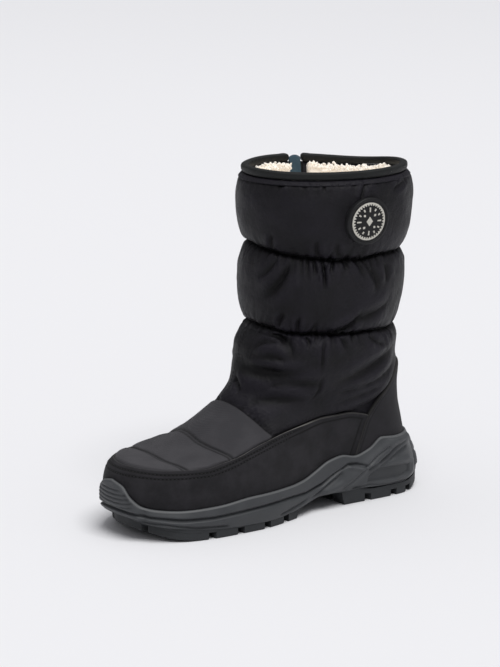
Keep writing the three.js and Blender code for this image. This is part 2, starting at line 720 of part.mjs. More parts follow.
// Grooves between the lugs, seen from below: chevrons across the tread and two waving channels along it.
const notchStations = [0.862, 0.784, 0.698, 0.612, 0.54, 0.233, 0.143, 0.085];
const archOutline = [
  { station: 0.318, level: -1 },
  { station: 0.33, level: 1 },
  { station: 0.34, level: 3 },
  { station: 0.492, level: 3 },
  { station: 0.502, level: 1 },
  { station: 0.512, level: -1 },
];
function treadGrooves() {
  const reach = ballWidth;
  const top = lugDepth + toeSpring;
  const plan = (points) => {
    const shape = new THREE.Shape(points.map(([x, y]) => new THREE.Vector2(x, y)));
    const prism = new THREE.ExtrudeGeometry(shape, { depth: 2 * top, bevelEnabled: false });
    return solidOf(prism.translate(0, 0, -top / 2));
  };
  const half = notchWidth / 2;
  const chevrons = notchStations.map((station) => {
    const x = station * soleLength;
    const tip = x + notchWidth;
    return plan([[x - half, -reach], [tip - half, 0], [x - half, reach], [x + half, reach], [tip + half, 0],
      [x + half, -reach]]);
  });
  const arch = sidePrism(archOutline.map((row) => [row.station * soleLength, row.level * lugDepth]));
  const channel = (side) => {
    const middle = levels(0, soleLength, 10).map((x) => {
      const wave = channelWave * Math.sin((7 * Math.PI * x) / soleLength);
      return [x, side * (ballWidth / 6 + wave) + swing(x)];
    });
    const edge = (shift) => middle.map(([x, y]) => [x, y + shift]);
    return plan([...edge(-channelWidth / 2), ...edge(channelWidth / 2).reverse()]);
  };
  return [...chevrons, arch, channel(-1), channel(1)].reduce((all, next) => all.add(next));
}

// The insole lies on the cup's floor, inside the upper.
function makeInsole() {
  return cappedRings((angle) => {
    const bottom = skin(angle, featherHeight, -wallThickness - insoleMargin);
    bottom.setZ(floorHeight(angle) + seamClearance);
    return [bottom, bottom.clone().setZ(bottom.z + insoleThickness)];
  }, footColumns);
}

const materials = {
  nylon: { color: 0x2b2a2e, roughness: 0.55 },
  softshell: { color: 0x38373a, roughness: 0.8 },
  nubuck: { color: 0x242427, roughness: 0.85 },
  tape: { color: 0x23292b, roughness: 0.7 },
  zipTape: { color: 0x33505e, roughness: 0.8 },
  chain: { color: 0x1c1d1f, roughness: 0.5 },
  metal: { color: 0x4a4c50, roughness: 0.35, metalness: 0.9 },
  badge: { color: 0x1d1e21, roughness: 0.6 },
  cup: { color: 0x3b3e40, roughness: 0.65 },
  tread: { color: 0x222527, roughness: 0.75 },
  felt: { color: 0xe9dfd0, roughness: 0.95 },
};

const pieces = [
  ["outsole", makeOutsole, materials.tread],
  ["midsole", makeMidsole, materials.cup],
  ["insole", makeInsole, materials.felt],
  ["upper", makeUpper, materials.nylon],
  ["vamp", makeVamp, materials.softshell],
  ["mudguard", makeMudguard, materials.nubuck],
  ["heel_counter", makeHeelCounter, materials.nubuck],
  ["collar_binding", makeBinding, materials.tape],
  ["badge", makeBadge, materials.badge],
  ["zip_tape", makeZipTape, materials.zipTape],
  ["zip_chain", makeZipChain, materials.chain],
  ["zip_slider", makeSlider, materials.metal],
  ["zip_pull", makePull, materials.metal],
];

const last = new THREE.Group();
for (const [name, make, finish] of pieces) {
  const made = make().getMesh();
  const geometry = new THREE.BufferGeometry()
    .setAttribute("position", new THREE.BufferAttribute(new Float32Array(made.vertProperties), 3))
    .setIndex(new THREE.BufferAttribute(made.triVerts, 1));
  geometry.computeVertexNormals();
  const mesh = new THREE.Mesh(geometry, new THREE.MeshStandardMaterial(finish));
  mesh.name = name;
  last.add(mesh);
}

// The toe points to -Y and the outer side to +X, and the origin is under the middle of the boot's box.
last.rotation.z = -Math.PI / 2;
last.updateMatrixWorld(true);
const bounds = new THREE.Box3().setFromObject(last, true);
last.position.set(-(bounds.min.x + bounds.max.x) / 2, -(bounds.min.y + bounds.max.y) / 2, -bounds.min.z);

const boot = new THREE.Group();
boot.add(last);
export default boot;
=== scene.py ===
# %% [markdown]
# # A quilted winter boot, dressed for a picture
# The solids of the boot come ready as a frame: sole, insole, upper, panels, binding, badge and zip. They
# are faceted and plain. In this lesson each of them gets a fine surface in the same place, with the puffs,
# creases, seams and stitches of the real boot, and then its finish. Lengths are written in millimetres, as
# a shoemaker writes them, and are turned into Blender's metres in one function.

# %% The frame, and the box that the boot must keep to
import math

import bmesh
import bpy
import numpy as np
from mathutils import Matrix, Vector

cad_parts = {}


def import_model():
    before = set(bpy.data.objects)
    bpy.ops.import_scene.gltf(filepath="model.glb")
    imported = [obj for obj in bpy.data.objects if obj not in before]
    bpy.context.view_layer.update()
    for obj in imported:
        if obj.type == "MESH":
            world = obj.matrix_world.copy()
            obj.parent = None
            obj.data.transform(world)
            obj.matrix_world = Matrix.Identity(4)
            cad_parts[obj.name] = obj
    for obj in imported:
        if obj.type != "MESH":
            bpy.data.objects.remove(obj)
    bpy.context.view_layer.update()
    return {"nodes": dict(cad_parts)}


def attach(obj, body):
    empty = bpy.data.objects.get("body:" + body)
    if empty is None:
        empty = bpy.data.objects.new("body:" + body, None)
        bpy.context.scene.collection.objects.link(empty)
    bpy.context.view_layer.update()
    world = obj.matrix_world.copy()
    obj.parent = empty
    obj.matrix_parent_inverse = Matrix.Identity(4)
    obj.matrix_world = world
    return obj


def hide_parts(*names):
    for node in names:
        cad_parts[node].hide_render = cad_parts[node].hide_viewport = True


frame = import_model()
nodes = frame["nodes"]
print("nodes", sorted(nodes))

# %% [markdown]
# ## Sizes
# These are the boot's own sizes, the same as those that the solids were made from. Everything below is
# worked out from them.

# %% Sizes of the boot, in millimetres
sole_length = 283
ball_width = 104
waist_width = 73
heel_width = 80
toe_swing = 6
ankle_height = 114
seam_clearance = 0.3
cup_clearance = 0.55
boot_height = 264
shaft_depth = 134
shaft_width = 117
lower_seam = 140
upper_seam = 199
puff_swell = 8
ankle_swell = 5
ankle_puff_height = 49
wall_thickness = 3.5
collar_sag = 4
binding_height = 6
binding_thickness = 6.5
binding_overhang = 1.5
zip_station = 72
zip_slot = 11
zip_bottom = 104
zip_fade = 12
panel_thickness = 1.9
vamp_thickness = 1.2
pad_height = 0.9
edge_inset = 1.8
collar_height = boot_height - binding_height - seam_clearance

# Lengths along the cloth are measured at the mean radius of the shaft.
shaft_radius = 62

# %% [markdown]
# ## The last
# A shoe is built on a last, and so is this surface. Two short tables give sections of the foot and of the
# shaft. Each section is a loop through a point on the back of the heel and one on the front ridge. A place
# on the surface is named by an angle round the boot, where 0 is the toe, a quarter turn the outer side and
# a half turn the heel, and by a height.

# %% Small helpers for arrays of numbers
def clamp(x):
    return np.clip(x, 0, 1)


def smooth(x):
    return clamp(x) ** 2 * (3 - 2 * clamp(x))


def mix(a, b, x):
    return a + (b - a) * x


def bump(x, centre, spread):
    return np.exp(-(((x - centre) / spread) ** 2))


def curve(keys, values):
    """A monotone cubic through keyed values. It gives back a function that reads it anywhere."""
    keys, values = np.asarray(keys, float), np.asarray(values, float)
    slope = np.diff(values) / np.diff(keys)
    before, after = slope[:-1], slope[1:]
    rising = before * after > 0
    inner = np.where(rising, 2 * before * after / np.where(rising, before + after, 1), 0)
    tangent = np.concatenate([slope[:1], inner, slope[-1:]])

    def read(at):
        i = np.clip(np.searchsorted(keys, at) - 1, 0, len(keys) - 2)
        span = keys[i + 1] - keys[i]
        x = (at - keys[i]) / span
        ends = values[i] * (1 + 2 * x) * (1 - x) ** 2 + values[i + 1] * x**2 * (3 - 2 * x)
        return ends + span * x * (1 - x) * (tangent[i] * (1 - x) - tangent[i + 1] * x)

    return read


# %% Sections of the foot and the shaft
# Foot: heights are shares of the ankle height, back, front, nose and heel nose of the sole length, and
# ball, waist and heel are half widths as shares of their own widths.
foot_columns = "height back front front_height ball waist heel nose power heel_nose sag".split()
foot_rows = np.array(
    [
        [0.237, 0.051, 0.965, 0.184, 0.433, 0.438, 0.431, 0.276, 2.3, 0.127, 0.055],
        [0.368, 0.058, 0.981, 0.307, 0.452, 0.466, 0.456, 0.269, 2.3, 0.127, 0.03],
        [0.482, 0.069, 0.973, 0.421, 0.438, 0.479, 0.463, 0.261, 2.25, 0.129, 0.01],
        [0.579, 0.078, 0.94, 0.478, 0.409, 0.486, 0.463, 0.29, 2.15, 0.131, 0],
        [0.649, 0.083, 0.89, 0.513, 0.394, 0.493, 0.463, 0.396, 2, 0.134, 0],
        [0.711, 0.085, 0.813, 0.559, 0.389, 0.507, 0.469, 0.452, 2, 0.141, 0],
        [0.772, 0.087, 0.723, 0.64, 0.394, 0.534, 0.487, 0.438, 2, 0.152, 0],
        [0.842, 0.088, 0.634, 0.763, 0.404, 0.568, 0.519, 0.36, 2, 0.17, 0],
        [0.912, 0.09, 0.592, 0.864, 0.418, 0.61, 0.556, 0.283, 2, 0.194, 0],
    ]
)
# Shaft: heights are shares of the way from the ankle to the collar, centres of the sole length, and
# depths and widths of the shaft's.
shaft_rows = [
    {"height": 0, "centre": 0.335, "depth": 1.011, "width": 0.821},
    {"height": 0.084, "centre": 0.331, "depth": 0.959, "width": 0.846},
    {"height": 0.181, "centre": 0.318, "depth": 0.866, "width": 0.829},
    {"height": 0.362, "centre": 0.313, "depth": 0.886, "width": 0.855},
    {"height": 0.592, "centre": 0.306, "depth": 0.91, "width": 0.889},
    {"height": 0.807, "centre": 0.302, "depth": 0.94, "width": 0.94},
    {"height": 1, "centre": 0.301, "depth": 0.974, "width": 0.974},
]


def shaft_section(row):
    height = mix(ankle_height, collar_height, row["height"])
    middle, half = row["centre"] * sole_length, row["depth"] * shaft_depth / 2
    side = row["width"] * shaft_width / 2
    return [height, middle - half, middle + half, height, side, side, side, half, 2, half, 0]


foot_units = np.array([ankle_height, sole_length, sole_length, ankle_height, ball_width, waist_width,
                       heel_width, sole_length, 1, sole_length, ankle_height])
section_rows = np.vstack([foot_rows * foot_units, [shaft_section(row) for row in shaft_rows]])
sections = {name: curve(section_rows[:, 0], section_rows[:, k]) for k, name in enumerate(foot_columns)}
feather_height = section_rows[0, 0]
print("sections", len(section_rows), "feather line at", feather_height)

# %% The surface of the last
ball_station = 0.66 * sole_length
waist_station = 0.38 * sole_length
heel_station = 0.16 * sole_length
dip_angle = -2.55
dip_spread = 0.65
pad_stations = [172, 190, 205, 220, 236, 250, 264, 276]
pad_room = curve(pad_stations, [0, 0.6, 1.8, 4.2, 5.4, 5, 3.4, 0])
pad_level, pad_ease = 50, 12


def opened(share, power):
    """How far a loop has opened: 0 at its tip and 1 past its nose."""
    return (1 - (1 - clamp(share)) ** power) ** (1 / power)


def swing(x):
    return -toe_swing * smooth((x - waist_station) / (sole_length - waist_station)) ** 1.2


def half_width(row, x):
    waist = mix(row["heel"], row["waist"], smooth((x - heel_station) / (waist_station - heel_station)))
    return mix(waist, row["ball"], smooth((x - waist_station) / (ball_station - waist_station)))


def collar_dip(angle, height):
    off = np.arctan2(np.sin(angle - dip_angle), np.cos(angle - dip_angle))
    rise = smooth((height - upper_seam) / (collar_height - upper_seam))
    return collar_sag * rise * bump(off, 0, dip_spread)


def ridge_drop(x, z):
    """The pads of the vamp lie on the last, so the last itself is lower under them."""
    room = pad_room(np.clip(x, pad_stations[0], pad_stations[-1]))
    return room * smooth((z - pad_level) / pad_ease)


def base(angle, height):
    """Points of the last's surface: x from heel to toe, y to the outer side, z up."""
    row = {name: read(height) for name, read in sections.items()}
    share = (1 + np.cos(angle)) / 2
    x = mix(row["back"], row["front"], share)
    round_toe = opened((row["front"] - x) / row["nose"], row["power"])
    round_heel = opened((x - row["back"]) / row["heel_nose"], 2)
    y = swing(x) + np.sign(np.sin(angle)) * half_width(row, x) * round_toe * round_heel
    z = mix(row["height"], row["front_height"], share) - row["sag"] * np.sin(np.pi * share) ** 2
    return np.stack([x, y, z - collar_dip(angle, height) - ridge_drop(x, z)], -1)


def unit(vectors):
    return vectors / np.maximum(np.linalg.norm(vectors, axis=-1, keepdims=True), 1e-12)


def side_view(angle, height):
    """The station and the level of a place on the last, as seen from the side."""
    at = base(angle, height)
    return at[..., 0], at[..., 2]


def normal(angle, height):
    step = 1e-3
    around = base(angle + step, height) - base(angle - step, height)
    above = base(angle, np.minimum(collar_height, height + 1))
    below = base(angle, np.maximum(feather_height, height - 1))
    return unit(np.cross(around, above - below))


def skin(angle, height, out):
    angle, height, out = np.broadcast_arrays(angle, height, out)
    return base(angle, height) + normal(angle, height) * out[..., None]


# %% The swell of the quilting
def pillow(x):
    return (1 - np.abs(2 * clamp(x) - 1) ** 2.6) ** 0.6


def swell(angle, height, upper=upper_seam, lower=lower_seam, rolled=0):
    """The swell between two seams, which fades beside the zip. The ankle's puff may end in a roll."""
    from_zip = np.abs(side_view(angle, height)[0] - zip_station) - zip_slot / 2
    fade = np.where(np.sin(angle) < 0, np.sqrt(clamp(from_zip / zip_fade)), 1)
    top = puff_swell * pillow((height - upper) / (collar_height - upper))
    middle = puff_swell * pillow((height - lower) / (upper - lower))
    down = clamp((lower - height) / ankle_puff_height)
    ankle = clamp(down * 5) ** 0.5 * np.hypot(ankle_swell * (1 - smooth(down)), rolled)
    return fade * np.where(height > upper, top, np.where(height > lower, middle, ankle))


# %% [markdown]
# ## From the boot's millimetres to Blender's metres
# The frame's toe points to -Y and its outer side to +X. The middle of the heel's back edge is one vertex
# of the outsole's solid, so it tells where the boot's own zero lies.

# %% Placing points in the frame
mm = 0.001
heel_back = max((corner.co for corner in nodes["outsole"].data.vertices), key=lambda co: co.y)
side_zero = heel_back.x
heel_zero = heel_back.y + edge_inset * mm


def world(points):
    x, y, z = points[..., 0], points[..., 1], points[..., 2]
    return np.stack([side_zero + y * mm, heel_zero - x * mm, z * mm], -1)


def turned(directions):
    return np.stack([directions[..., 1], -directions[..., 0], directions[..., 2]], -1)


print("heel line at", round(heel_zero, 6), "middle at", round(side_zero, 6))


# %% [markdown]
# ## Value noise
# Cloth is never quite even. This noise is a lattice of random values with smooth steps between them. It
# works on whole arrays at once, and the seed fixes it.

# %% Noise
lattice_size = 4096
lattice_primes = np.array([73856093, 19349663, 83492791])


def noise(points, scale, seed):
    """Smooth random values between -1 and 1, one for each point, with features as wide as scale."""
    table = np.random.default_rng(seed).uniform(-1, 1, lattice_size)
    at = np.asarray(points, float) / scale
    cell = np.floor(at).astype(np.int64)
    part = at - cell
    part = part**2 * (3 - 2 * part)
    total = 0
    for corner in np.ndindex(*(2,) * at.shape[-1]):
        corner = np.array(corner)
        mixed = (cell + corner) @ lattice_primes[: at.shape[-1]]
        weight = np.prod(np.where(corner, part, 1 - part), axis=-1)
        total = total + weight * table[(mixed ^ (mixed >> 13)) % lattice_size]
    return total


def laid_flat(angle, up=0):
    """Places on the cloth laid flat, for noise that follows it round the boot."""
    return np.stack([angle * shaft_radius, up + 0 * angle], -1)


# %% [markdown]
# ## A sheet of quads, laid by a function
# Every fine surface here starts as Blender's own grid. Its vertices are then laid by a function of their
# two shares, the doubles at its seams are merged, and its faces are turned outwards. A UV map holds the
# lengths along the cloth in metres, so that weaves keep their scale.

# %% Making a piece from a grid
def piece_from(data, name):
    """Puts a mesh, a camera or a lamp into the scene."""
    piece = bpy.data.objects.new(name, data)
    bpy.context.scene.collection.objects.link(piece)
    return piece


def piece_of(bm, name):
    """Puts a bmesh into the scene and frees it."""
    mesh = bpy.data.meshes.new(name)
    bm.to_mesh(mesh)
    bm.free()
    return piece_from(mesh, name)


def grid_mesh(name, across, along, lay, cloth=None, marks=None):
    """lay(s, t) gives points in millimetres, cloth(s, t) UVs, and marks(s, t) named values of points."""
    bm = bmesh.new()
    bmesh.ops.create_grid(bm, x_segments=across, y_segments=along, size=0.5)
    mesh = bpy.data.meshes.new(name)
    bm.to_mesh(mesh)
    flat = np.empty(len(mesh.vertices) * 3)
    mesh.vertices.foreach_get("co", flat)
    s, t = flat.reshape(-1, 3)[:, 0] + 0.5, flat.reshape(-1, 3)[:, 1] + 0.5
    mesh.vertices.foreach_set("co", world(lay(s, t)).ravel())
    corners = np.empty(len(mesh.loops), np.int32)
    mesh.loops.foreach_get("vertex_index", corners)
    if cloth is not None:
        uv = np.stack(cloth(s, t), -1) * mm
        mesh.uv_layers.new(name="cloth").data.foreach_set("uv", uv[corners].astype(np.float32).ravel())
    for mark, values in (marks(s, t) if marks else {}).items():
        mesh.attributes.new(mark, "FLOAT", "POINT").data.foreach_set("value", values.astype(np.float32))
    bm.clear()
    bm.from_mesh(mesh)
    bmesh.ops.remove_doubles(bm, verts=bm.verts, dist=1e-7)
    bmesh.ops.dissolve_degenerate(bm, edges=bm.edges, dist=1e-7)
    bmesh.ops.recalc_face_normals(bm, faces=bm.faces)
    bm.to_mesh(mesh)
    bm.free()
    mesh.shade_smooth()
    return mesh


def fine_piece(name, across, along, lay, **extras):
    piece = piece_from(grid_mesh(name, across, along, lay, **extras), name)
    print(name, len(piece.data.polygons), "faces")
    return piece


def many_balls(name, matrices):
    """One mesh of many small balls, each laid by its own 4 x 4 matrix."""
    ball = bmesh.new()
    bmesh.ops.create_icosphere(ball, subdivisions=1, radius=1)
    mesh = bpy.data.meshes.new(name)
    ball.to_mesh(mesh)
    corners = np.array([[*vert.co, 1] for vert in ball.verts])
    ball.free()
    bm = bmesh.new()
    for _ in matrices:
        bm.from_mesh(mesh)
    bm.to_mesh(mesh)
    bm.free()
    laid = np.einsum("nij,vj->nvi", np.array(matrices), corners)[..., :3]
    mesh.vertices.foreach_set("co", laid.astype(np.float32).ravel())
    mesh.shade_smooth()
    return mesh


def triangles(piece):
    return sum(len(face.vertices) - 2 for face in piece.data.polygons)


def apply_modifiers(piece):
    graph = bpy.context.evaluated_depsgraph_get()
    done = bpy.data.meshes.new_from_object(piece.evaluated_get(graph), depsgraph=graph)
    piece.modifiers.clear()
    piece.data = done
    return piece


def combine(piece, other, operation):
    """Joins another piece to a piece, or cuts its space out, and drops the other."""
    change = piece.modifiers.new("combine", "BOOLEAN")
    change.object, change.operation, change.solver = other, operation, "EXACT"
    apply_modifiers(piece)
    bpy.data.objects.remove(other)
    return piece


def prism(name, corners, low, high, lay):
    """A closed prism on corners in a plane, from low to high. lay(a, b, depth) gives points."""
    bm = bmesh.new()
    floor = [bm.verts.new(world(np.array(lay(a, b, low), float))) for a, b in corners]
    face = bm.faces.new(floor)
    raised = bmesh.ops.extrude_face_region(bm, geom=[face])["geom"]
    tops = [item for item in raised if isinstance(item, bmesh.types.BMVert)]
    shift = world(np.array(lay(0, 0, high), float)) - world(np.array(lay(0, 0, low), float))
    bmesh.ops.translate(bm, verts=tops, vec=shift)
    bmesh.ops.recalc_face_normals(bm, faces=bm.faces)
    return piece_of(bm, name)


def rides(piece, slot, *replaced):
    """Every piece of the boot but the pull tab rides on the body named boot."""
    if replaced:
        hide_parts(*replaced)
    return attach(piece, "boot")


# %% [markdown]
# ## Where the panels end
# The mudguard, the heel counter and the vamp are cut along curves that are drawn in the side view. The
# nylon is smooth and thin under them and padded outside them, so its surface needs these curves too.
# Stations are shares of the sole length and levels are shares of the ankle height.

# %% Edges of the panels in the side view
def side_edge(rows):
    """The height of an edge in millimetres, as a function of the station in millimetres."""
    rows = np.array(sorted(rows)) * [sole_length, ankle_height]
    read = curve(rows[:, 0], rows[:, 1])
    return lambda x: read(np.clip(x, rows[0, 0], rows[-1, 0]))


mudguard_top = side_edge(
    [(1.045, 0.44), (0.967, 0.46), (0.899, 0.452), (0.81, 0.452), (0.732, 0.48), (0.654, 0.527),
     (0.566, 0.58), (0.478, 0.625), (0.399, 0.657), (0.331, 0.658), (0.272, 0.628), (0.213, 0.57)]
)
counter_top = side_edge(
    [(0.311, 0.655), (0.257, 0.685), (0.211, 0.742), (0.176, 0.81), (0.153, 0.875), (0.106, 0.93),
     (-0.002, 0.96)]
)
counter_front_rows = np.array(
    [(0.317, 0.1), (0.293, 0.355), (0.277, 0.47), (0.264, 0.56), (0.249, 0.62), (0.213, 0.74)]
) * [sole_length, ankle_height]
counter_front_read = curve(counter_front_rows[:, 1], counter_front_rows[:, 0])
vamp_back_rows = np.array([(0.553, 0.45), (0.655, 0.85)]) * [sole_length, ankle_height]
stitch_angles = [-60, -40, 0, 20, 38, 50, 60, 75]
stitch_lines = [curve(stitch_angles, [203, 206, 212, 213.5, 211.5, 208.5, 204.7, 199]),
                curve(stitch_angles, [236, 240, 244.5, 245.5, 242.5, 237, 231, 222])]
counter_top_end = 0.311 * sole_length
panel_ceiling = ankle_height + 12
vamp_slant = 0.85
far_off = 99


def counter_front(z):
    """The station of the counter's front edge at a level, in millimetres."""
    return counter_front_read(np.clip(z, counter_front_rows[0, 1], counter_front_rows[-1, 1]))


def vamp_back(z):
    (low_x, low_z), (high_x, high_z) = vamp_back_rows
    return low_x + (high_x - low_x) * (z - low_z) / (high_z - low_z)


def bare_nylon(angle, height):
    """How far a place lies outside all the panels, in millimetres, and below 0 under one."""
    x, z = side_view(angle, height)
    over_guard = z - mudguard_top(x)
    over_counter = np.where(x < counter_top_end, z - counter_top(x), far_off)
    behind_vamp = (vamp_back(z) - x) * vamp_slant
    return np.minimum(np.minimum(over_guard, over_counter), behind_vamp)


def solve(low, high, test, rounds=32):
    """Halves towards the place between two arrays where test turns from false to true."""
    low, high = np.broadcast_arrays(np.asarray(low, float), np.asarray(high, float))
    low, high = low.copy(), high.copy()
    for _ in range(rounds):
        middle = (low + high) / 2
        past = test(middle)
        low, high = np.where(past, low, middle), np.where(past, middle, high)
    return (low + high) / 2


def first_height(angle, test, high=panel_ceiling):
    """The lowest height at each angle where test(x, z) turns true, on the way up to high."""
    return solve(feather_height + 0 * angle, high + 0 * angle,
                 lambda height: test(*side_view(angle, height)))


# %% [markdown]
# ## The padded nylon
# The shaft is a tube of nylon with padding behind it, sewn round in two seams. On the real boot the
# seams aren't quite level, and the cloth is longer than the thread, so it gathers into short pleats there.
# Longer creases run where the ankle bends. A cloth simulation would make pleats anywhere, so the main
# ones are placed from the photograph, as soft troughs with a ridge beside them, and only the short
# pleats between them are drawn at random from a fixed seed.

# %% Seam lines and the swell between them
seam_wobble = 0.9
seam_angles = [-180, -90, -14, 16, 37, 60, 80, 104, 134, 180]
upper_line = curve(seam_angles, [198, 202, 206, 202.5, 199.8, 197.8, 197.4, 198.2, 198, 198])
lower_line = curve(seam_angles, [137.5, 140, 145, 143.4, 141.3, 141, 139.6, 138.6, 137.2, 137.5])
upper_seed, lower_seed = 21, 23
puff_edge_roll = 2.6
edge_gap = 0.7
roll_width = 4


def degrees(angle):
    """Angles in degrees from -180 to 180."""
    return np.degrees(np.arctan2(np.sin(angle), np.cos(angle)))


def wobble(angle, seed):
    """How the gathers pull a seam up and down."""
    around = np.stack([np.cos(angle), np.sin(angle)], -1) * shaft_radius
    return seam_wobble * (noise(around, 8, seed) + 0.5 * noise(around, 3.5, seed + 1))


def seam_heights(angle):
    """Heights of the upper and the lower seam, with the pull of the gathers."""
    around = degrees(angle)
    return upper_line(around) + wobble(angle, upper_seed), lower_line(around) + wobble(angle, lower_seed)


def from_seam(angle, height):
    """How far a place is from the nearer seam."""
    upper, lower = seam_heights(angle)
    return np.minimum(np.abs(height - upper), np.abs(height - lower))


def puffs(angle, height):
    """The swell of the cloth, with its seams where the photograph has them."""
    rolled = puff_edge_roll * np.sqrt(clamp((bare_nylon(angle, height) - edge_gap) / roll_width))
    return swell(angle, height, *seam_heights(angle), rolled)


# %% Creases placed one by one
# Each row is a crease from one angle and height to another. The bow bends it sideways, the width and depth
# are those of its trough, and the ridge is how much of the depth rises beside it. Angles are in degrees
# from the toe, and lengths in millimetres.
crease_gain = 2.1
crease_columns = "angle height to_angle to_height bow width depth ridge".split()
crease_rows = [
    [54, 200, 57, 177, 0.8, 1.3, 1.7, 0.5],
    [48, 199, 50, 188, 0.5, 1.1, 1.2, 0.5],
    [63, 199, 60, 189, 0.5, 1.2, 1.3, 0.5],
    [32, 196, 13, 168, 3, 4, 1.6, 0.6],
    [22, 199, 8, 183, 2, 3, 1.2, 0.5],
    [90, 190, 97, 172, 2, 3, 1.1, 0.6],
    [104, 192, 106, 178, 2, 3, 0.9, 0.5],
    [61, 142, 86, 156, -4, 2.6, 2, 0.7],
    [78, 152, 112, 163, -3, 4.5, 1.2, 0.5],
    [24, 145, 30, 158, 1, 2, 1.2, 0.5],
    [40, 142, 41, 155, 1, 1.7, 1.2, 0.5],
    [0, 114, 57, 114, -2, 2.6, 2.2, 0.8],
    [30, 106, 68, 106, 1.5, 2.4, 1.8, 0.7],
    [26, 97.5, 64, 97, 1, 2.6, 1.4, 0.6],
    [14, 136, 44, 124, 5, 4, 1.5, 0.6],
    [17, 139, 33, 133, 2, 2, 1.4, 0.6],
    [60, 137, 65, 113, 0.5, 1.1, 0.9, 0.4],
    [66, 110, 71, 97, 0.5, 1.2, 0.9, 0.4],
    [84, 98, 134, 108, -3, 3.4, 1.2, 0.6],
    [78, 106, 128, 122, -3, 4, 1.3, 0.6],
    [-6, 107, 10, 101, 1, 1.5, 1.5, 0.5],
    [54, 257, 54, 251, 0, 1.3, 1.1, 0.4],
    [22, 252, 31, 257, 1, 1.6, 1.1, 0.5],
    [78, 243, 83, 256, 1, 1.6, 1.1, 0.5],
    [104, 247, 124, 253, 1, 2, 0.9, 0.5],
    [17, 205, 19, 217, 1, 2, 1.1, 0.5],
    [52, 200, 50, 214, 1, 2, 1.1, 0.5],
    [66, 200, 64, 212, 1, 1.8, 1, 0.5],
    [8, 128, 30, 131, 2, 2, 1.2, 0.6],
    [20, 124, 40, 119, 2, 2.4, 1.1, 0.6],
    [44, 139, 52, 130, 1, 1.4, 1.3, 0.6],
    [70, 138, 80, 128, 1, 1.6, 1, 0.5],
    [96, 137, 118, 126, -2, 2.6, 1.1, 0.6],
    [90, 92, 122, 96, -2, 2.6, 1, 0.6],
    [-60, 196, -48, 176, 3, 3.4, 1.3, 0.5],
    [-75, 142, -58, 158, -3, 3, 1.4, 0.5],
    [-30, 112, -75, 110, 2, 3, 1.6, 0.6],
    [-70, 100, -120, 112, 3, 3.4, 1.2, 0.6],
    [150, 196, 160, 178, 2, 3, 1.1, 0.5],
    [-160, 142, -150, 160, 2, 3, 1.2, 0.5],
    [165, 112, -160, 118, 3, 3.4, 1.2, 0.5],
]


def crease_depth(around, height, row):
    """How far one crease moves the cloth, by its distance from a bowed line."""
    one = dict(zip(crease_columns, row))
    turn = one["to_angle"] - one["angle"]
    turn = (turn + 180) % 360 - 180
    run = np.array([np.radians(turn) * shaft_radius, one["to_height"] - one["height"]])
    length = np.hypot(*run)
    start = np.radians((around - one["angle"] + 180) % 360 - 180) * shaft_radius
    along = (start * run[0] + (height - one["height"]) * run[1]) / length**2
    across = (-start * run[1] + (height - one["height"]) * run[0]) / length
    across = across - one["bow"] * 4 * clamp(along) * (1 - clamp(along))
    taper = smooth((along + 0.05) / 0.3) * smooth((1.1 - along) / 0.45)
    trough = np.exp(-np.abs(across) / (0.6 * one["width"]))
    beside, spread = 2.1 * one["width"], 1.3 * one["width"]
    ridges = bump(across, beside, spread) + bump(across, -beside, spread)
    return crease_gain * one["depth"] * taper * (one["ridge"] * 0.7 * ridges - trough)


# %% Short pleats along the seams
pleat_pitch = 5.2
pleat_seed = 11
pleat_peak, pleat_spread = 60, 38
pleat_rows = [(upper_line, 1, 5), (upper_line, -1, 7), (lower_line, 1, 6), (lower_line, -1, 7)]
valley_depth = 1.6
ankle_slimming, slim_height, slim_spread = 2.2, 117, 12


def pleats(around, height, line, side, reach, seed):
    """Pleats that leave a seam on one side: 1 is up and -1 is down."""
    draw = np.random.default_rng(seed)
    count = int(2 * np.pi * shaft_radius / pleat_pitch)
    away = side * (height - line(around))
    near = (away > -1) & (away < 3.5 * reach)
    spot, gap = around[near], away[near]
    moved = np.zeros(spot.shape)
    for k in range(count):
        place = (k + draw.uniform(-0.4, 0.4)) * 360 / count - 180
        lean, width = draw.normal(0, 0.35), draw.uniform(1, 2.1)
        length, depth = reach * draw.uniform(0.3, 1.1), 1.5 * draw.uniform(0.2, 1.2) ** 1.5
        depth = depth * (0.6 + 1.1 * bump(place, pleat_peak, pleat_spread))
        off = np.radians((spot - place + 180) % 360 - 180) * shaft_radius - lean * gap
        fold = 0.5 * bump(np.abs(off), 2 * width, width) - bump(off, 0, width)
        moved += depth * np.exp(-clamp(gap / length / 3) * 3) * fold
    out = np.zeros(around.shape)
    out[near] = moved * smooth((gap + 1) / 1.4)
    return out


def collar_line(around):
    return collar_height + 0 * around


def cloth_detail(angle, height):
    """All that the nylon does apart from its swell, in millimetres along its normal."""
    around = degrees(angle)
    points = base(angle, height)
    moved = sum(crease_depth(around, height, row) for row in crease_rows)
    for k, (line, side, reach) in enumerate(pleat_rows):
        moved = moved + pleats(around, height, line, side, reach, pleat_seed + k)
    moved = moved + 0.7 * pleats(around, height, collar_line, -1, 4, pleat_seed + 9)
    moved = moved + 0.9 * noise(points, 26, 3) + 0.5 * noise(points, 11, 4) + 0.16 * noise(points, 4.5, 5)
    moved = moved - ankle_slimming * bump(height, slim_height, slim_spread) * np.cos(angle) ** 2
    still = smooth(bare_nylon(angle, height) / 6)
    seams = from_seam(angle, height)
    shown = mix(0.55, 1, smooth(seams / 2)) * smooth((collar_height - height + 0.8) / 2)
    valley = valley_depth * bump(seams, 0, 1.7)
    band = 0.5 * bump(height, collar_height - 3.4, 0.6)
    return moved * still * shown - valley - band


# %% [markdown]
# ## Rows that crowd at the seams
# A seam is a sharp valley, so the rows of quads are closer there. A level counts the bands of the boot
# from the feather line: 0 to 1 is what the panels hide, then the ankle and the two puffs.

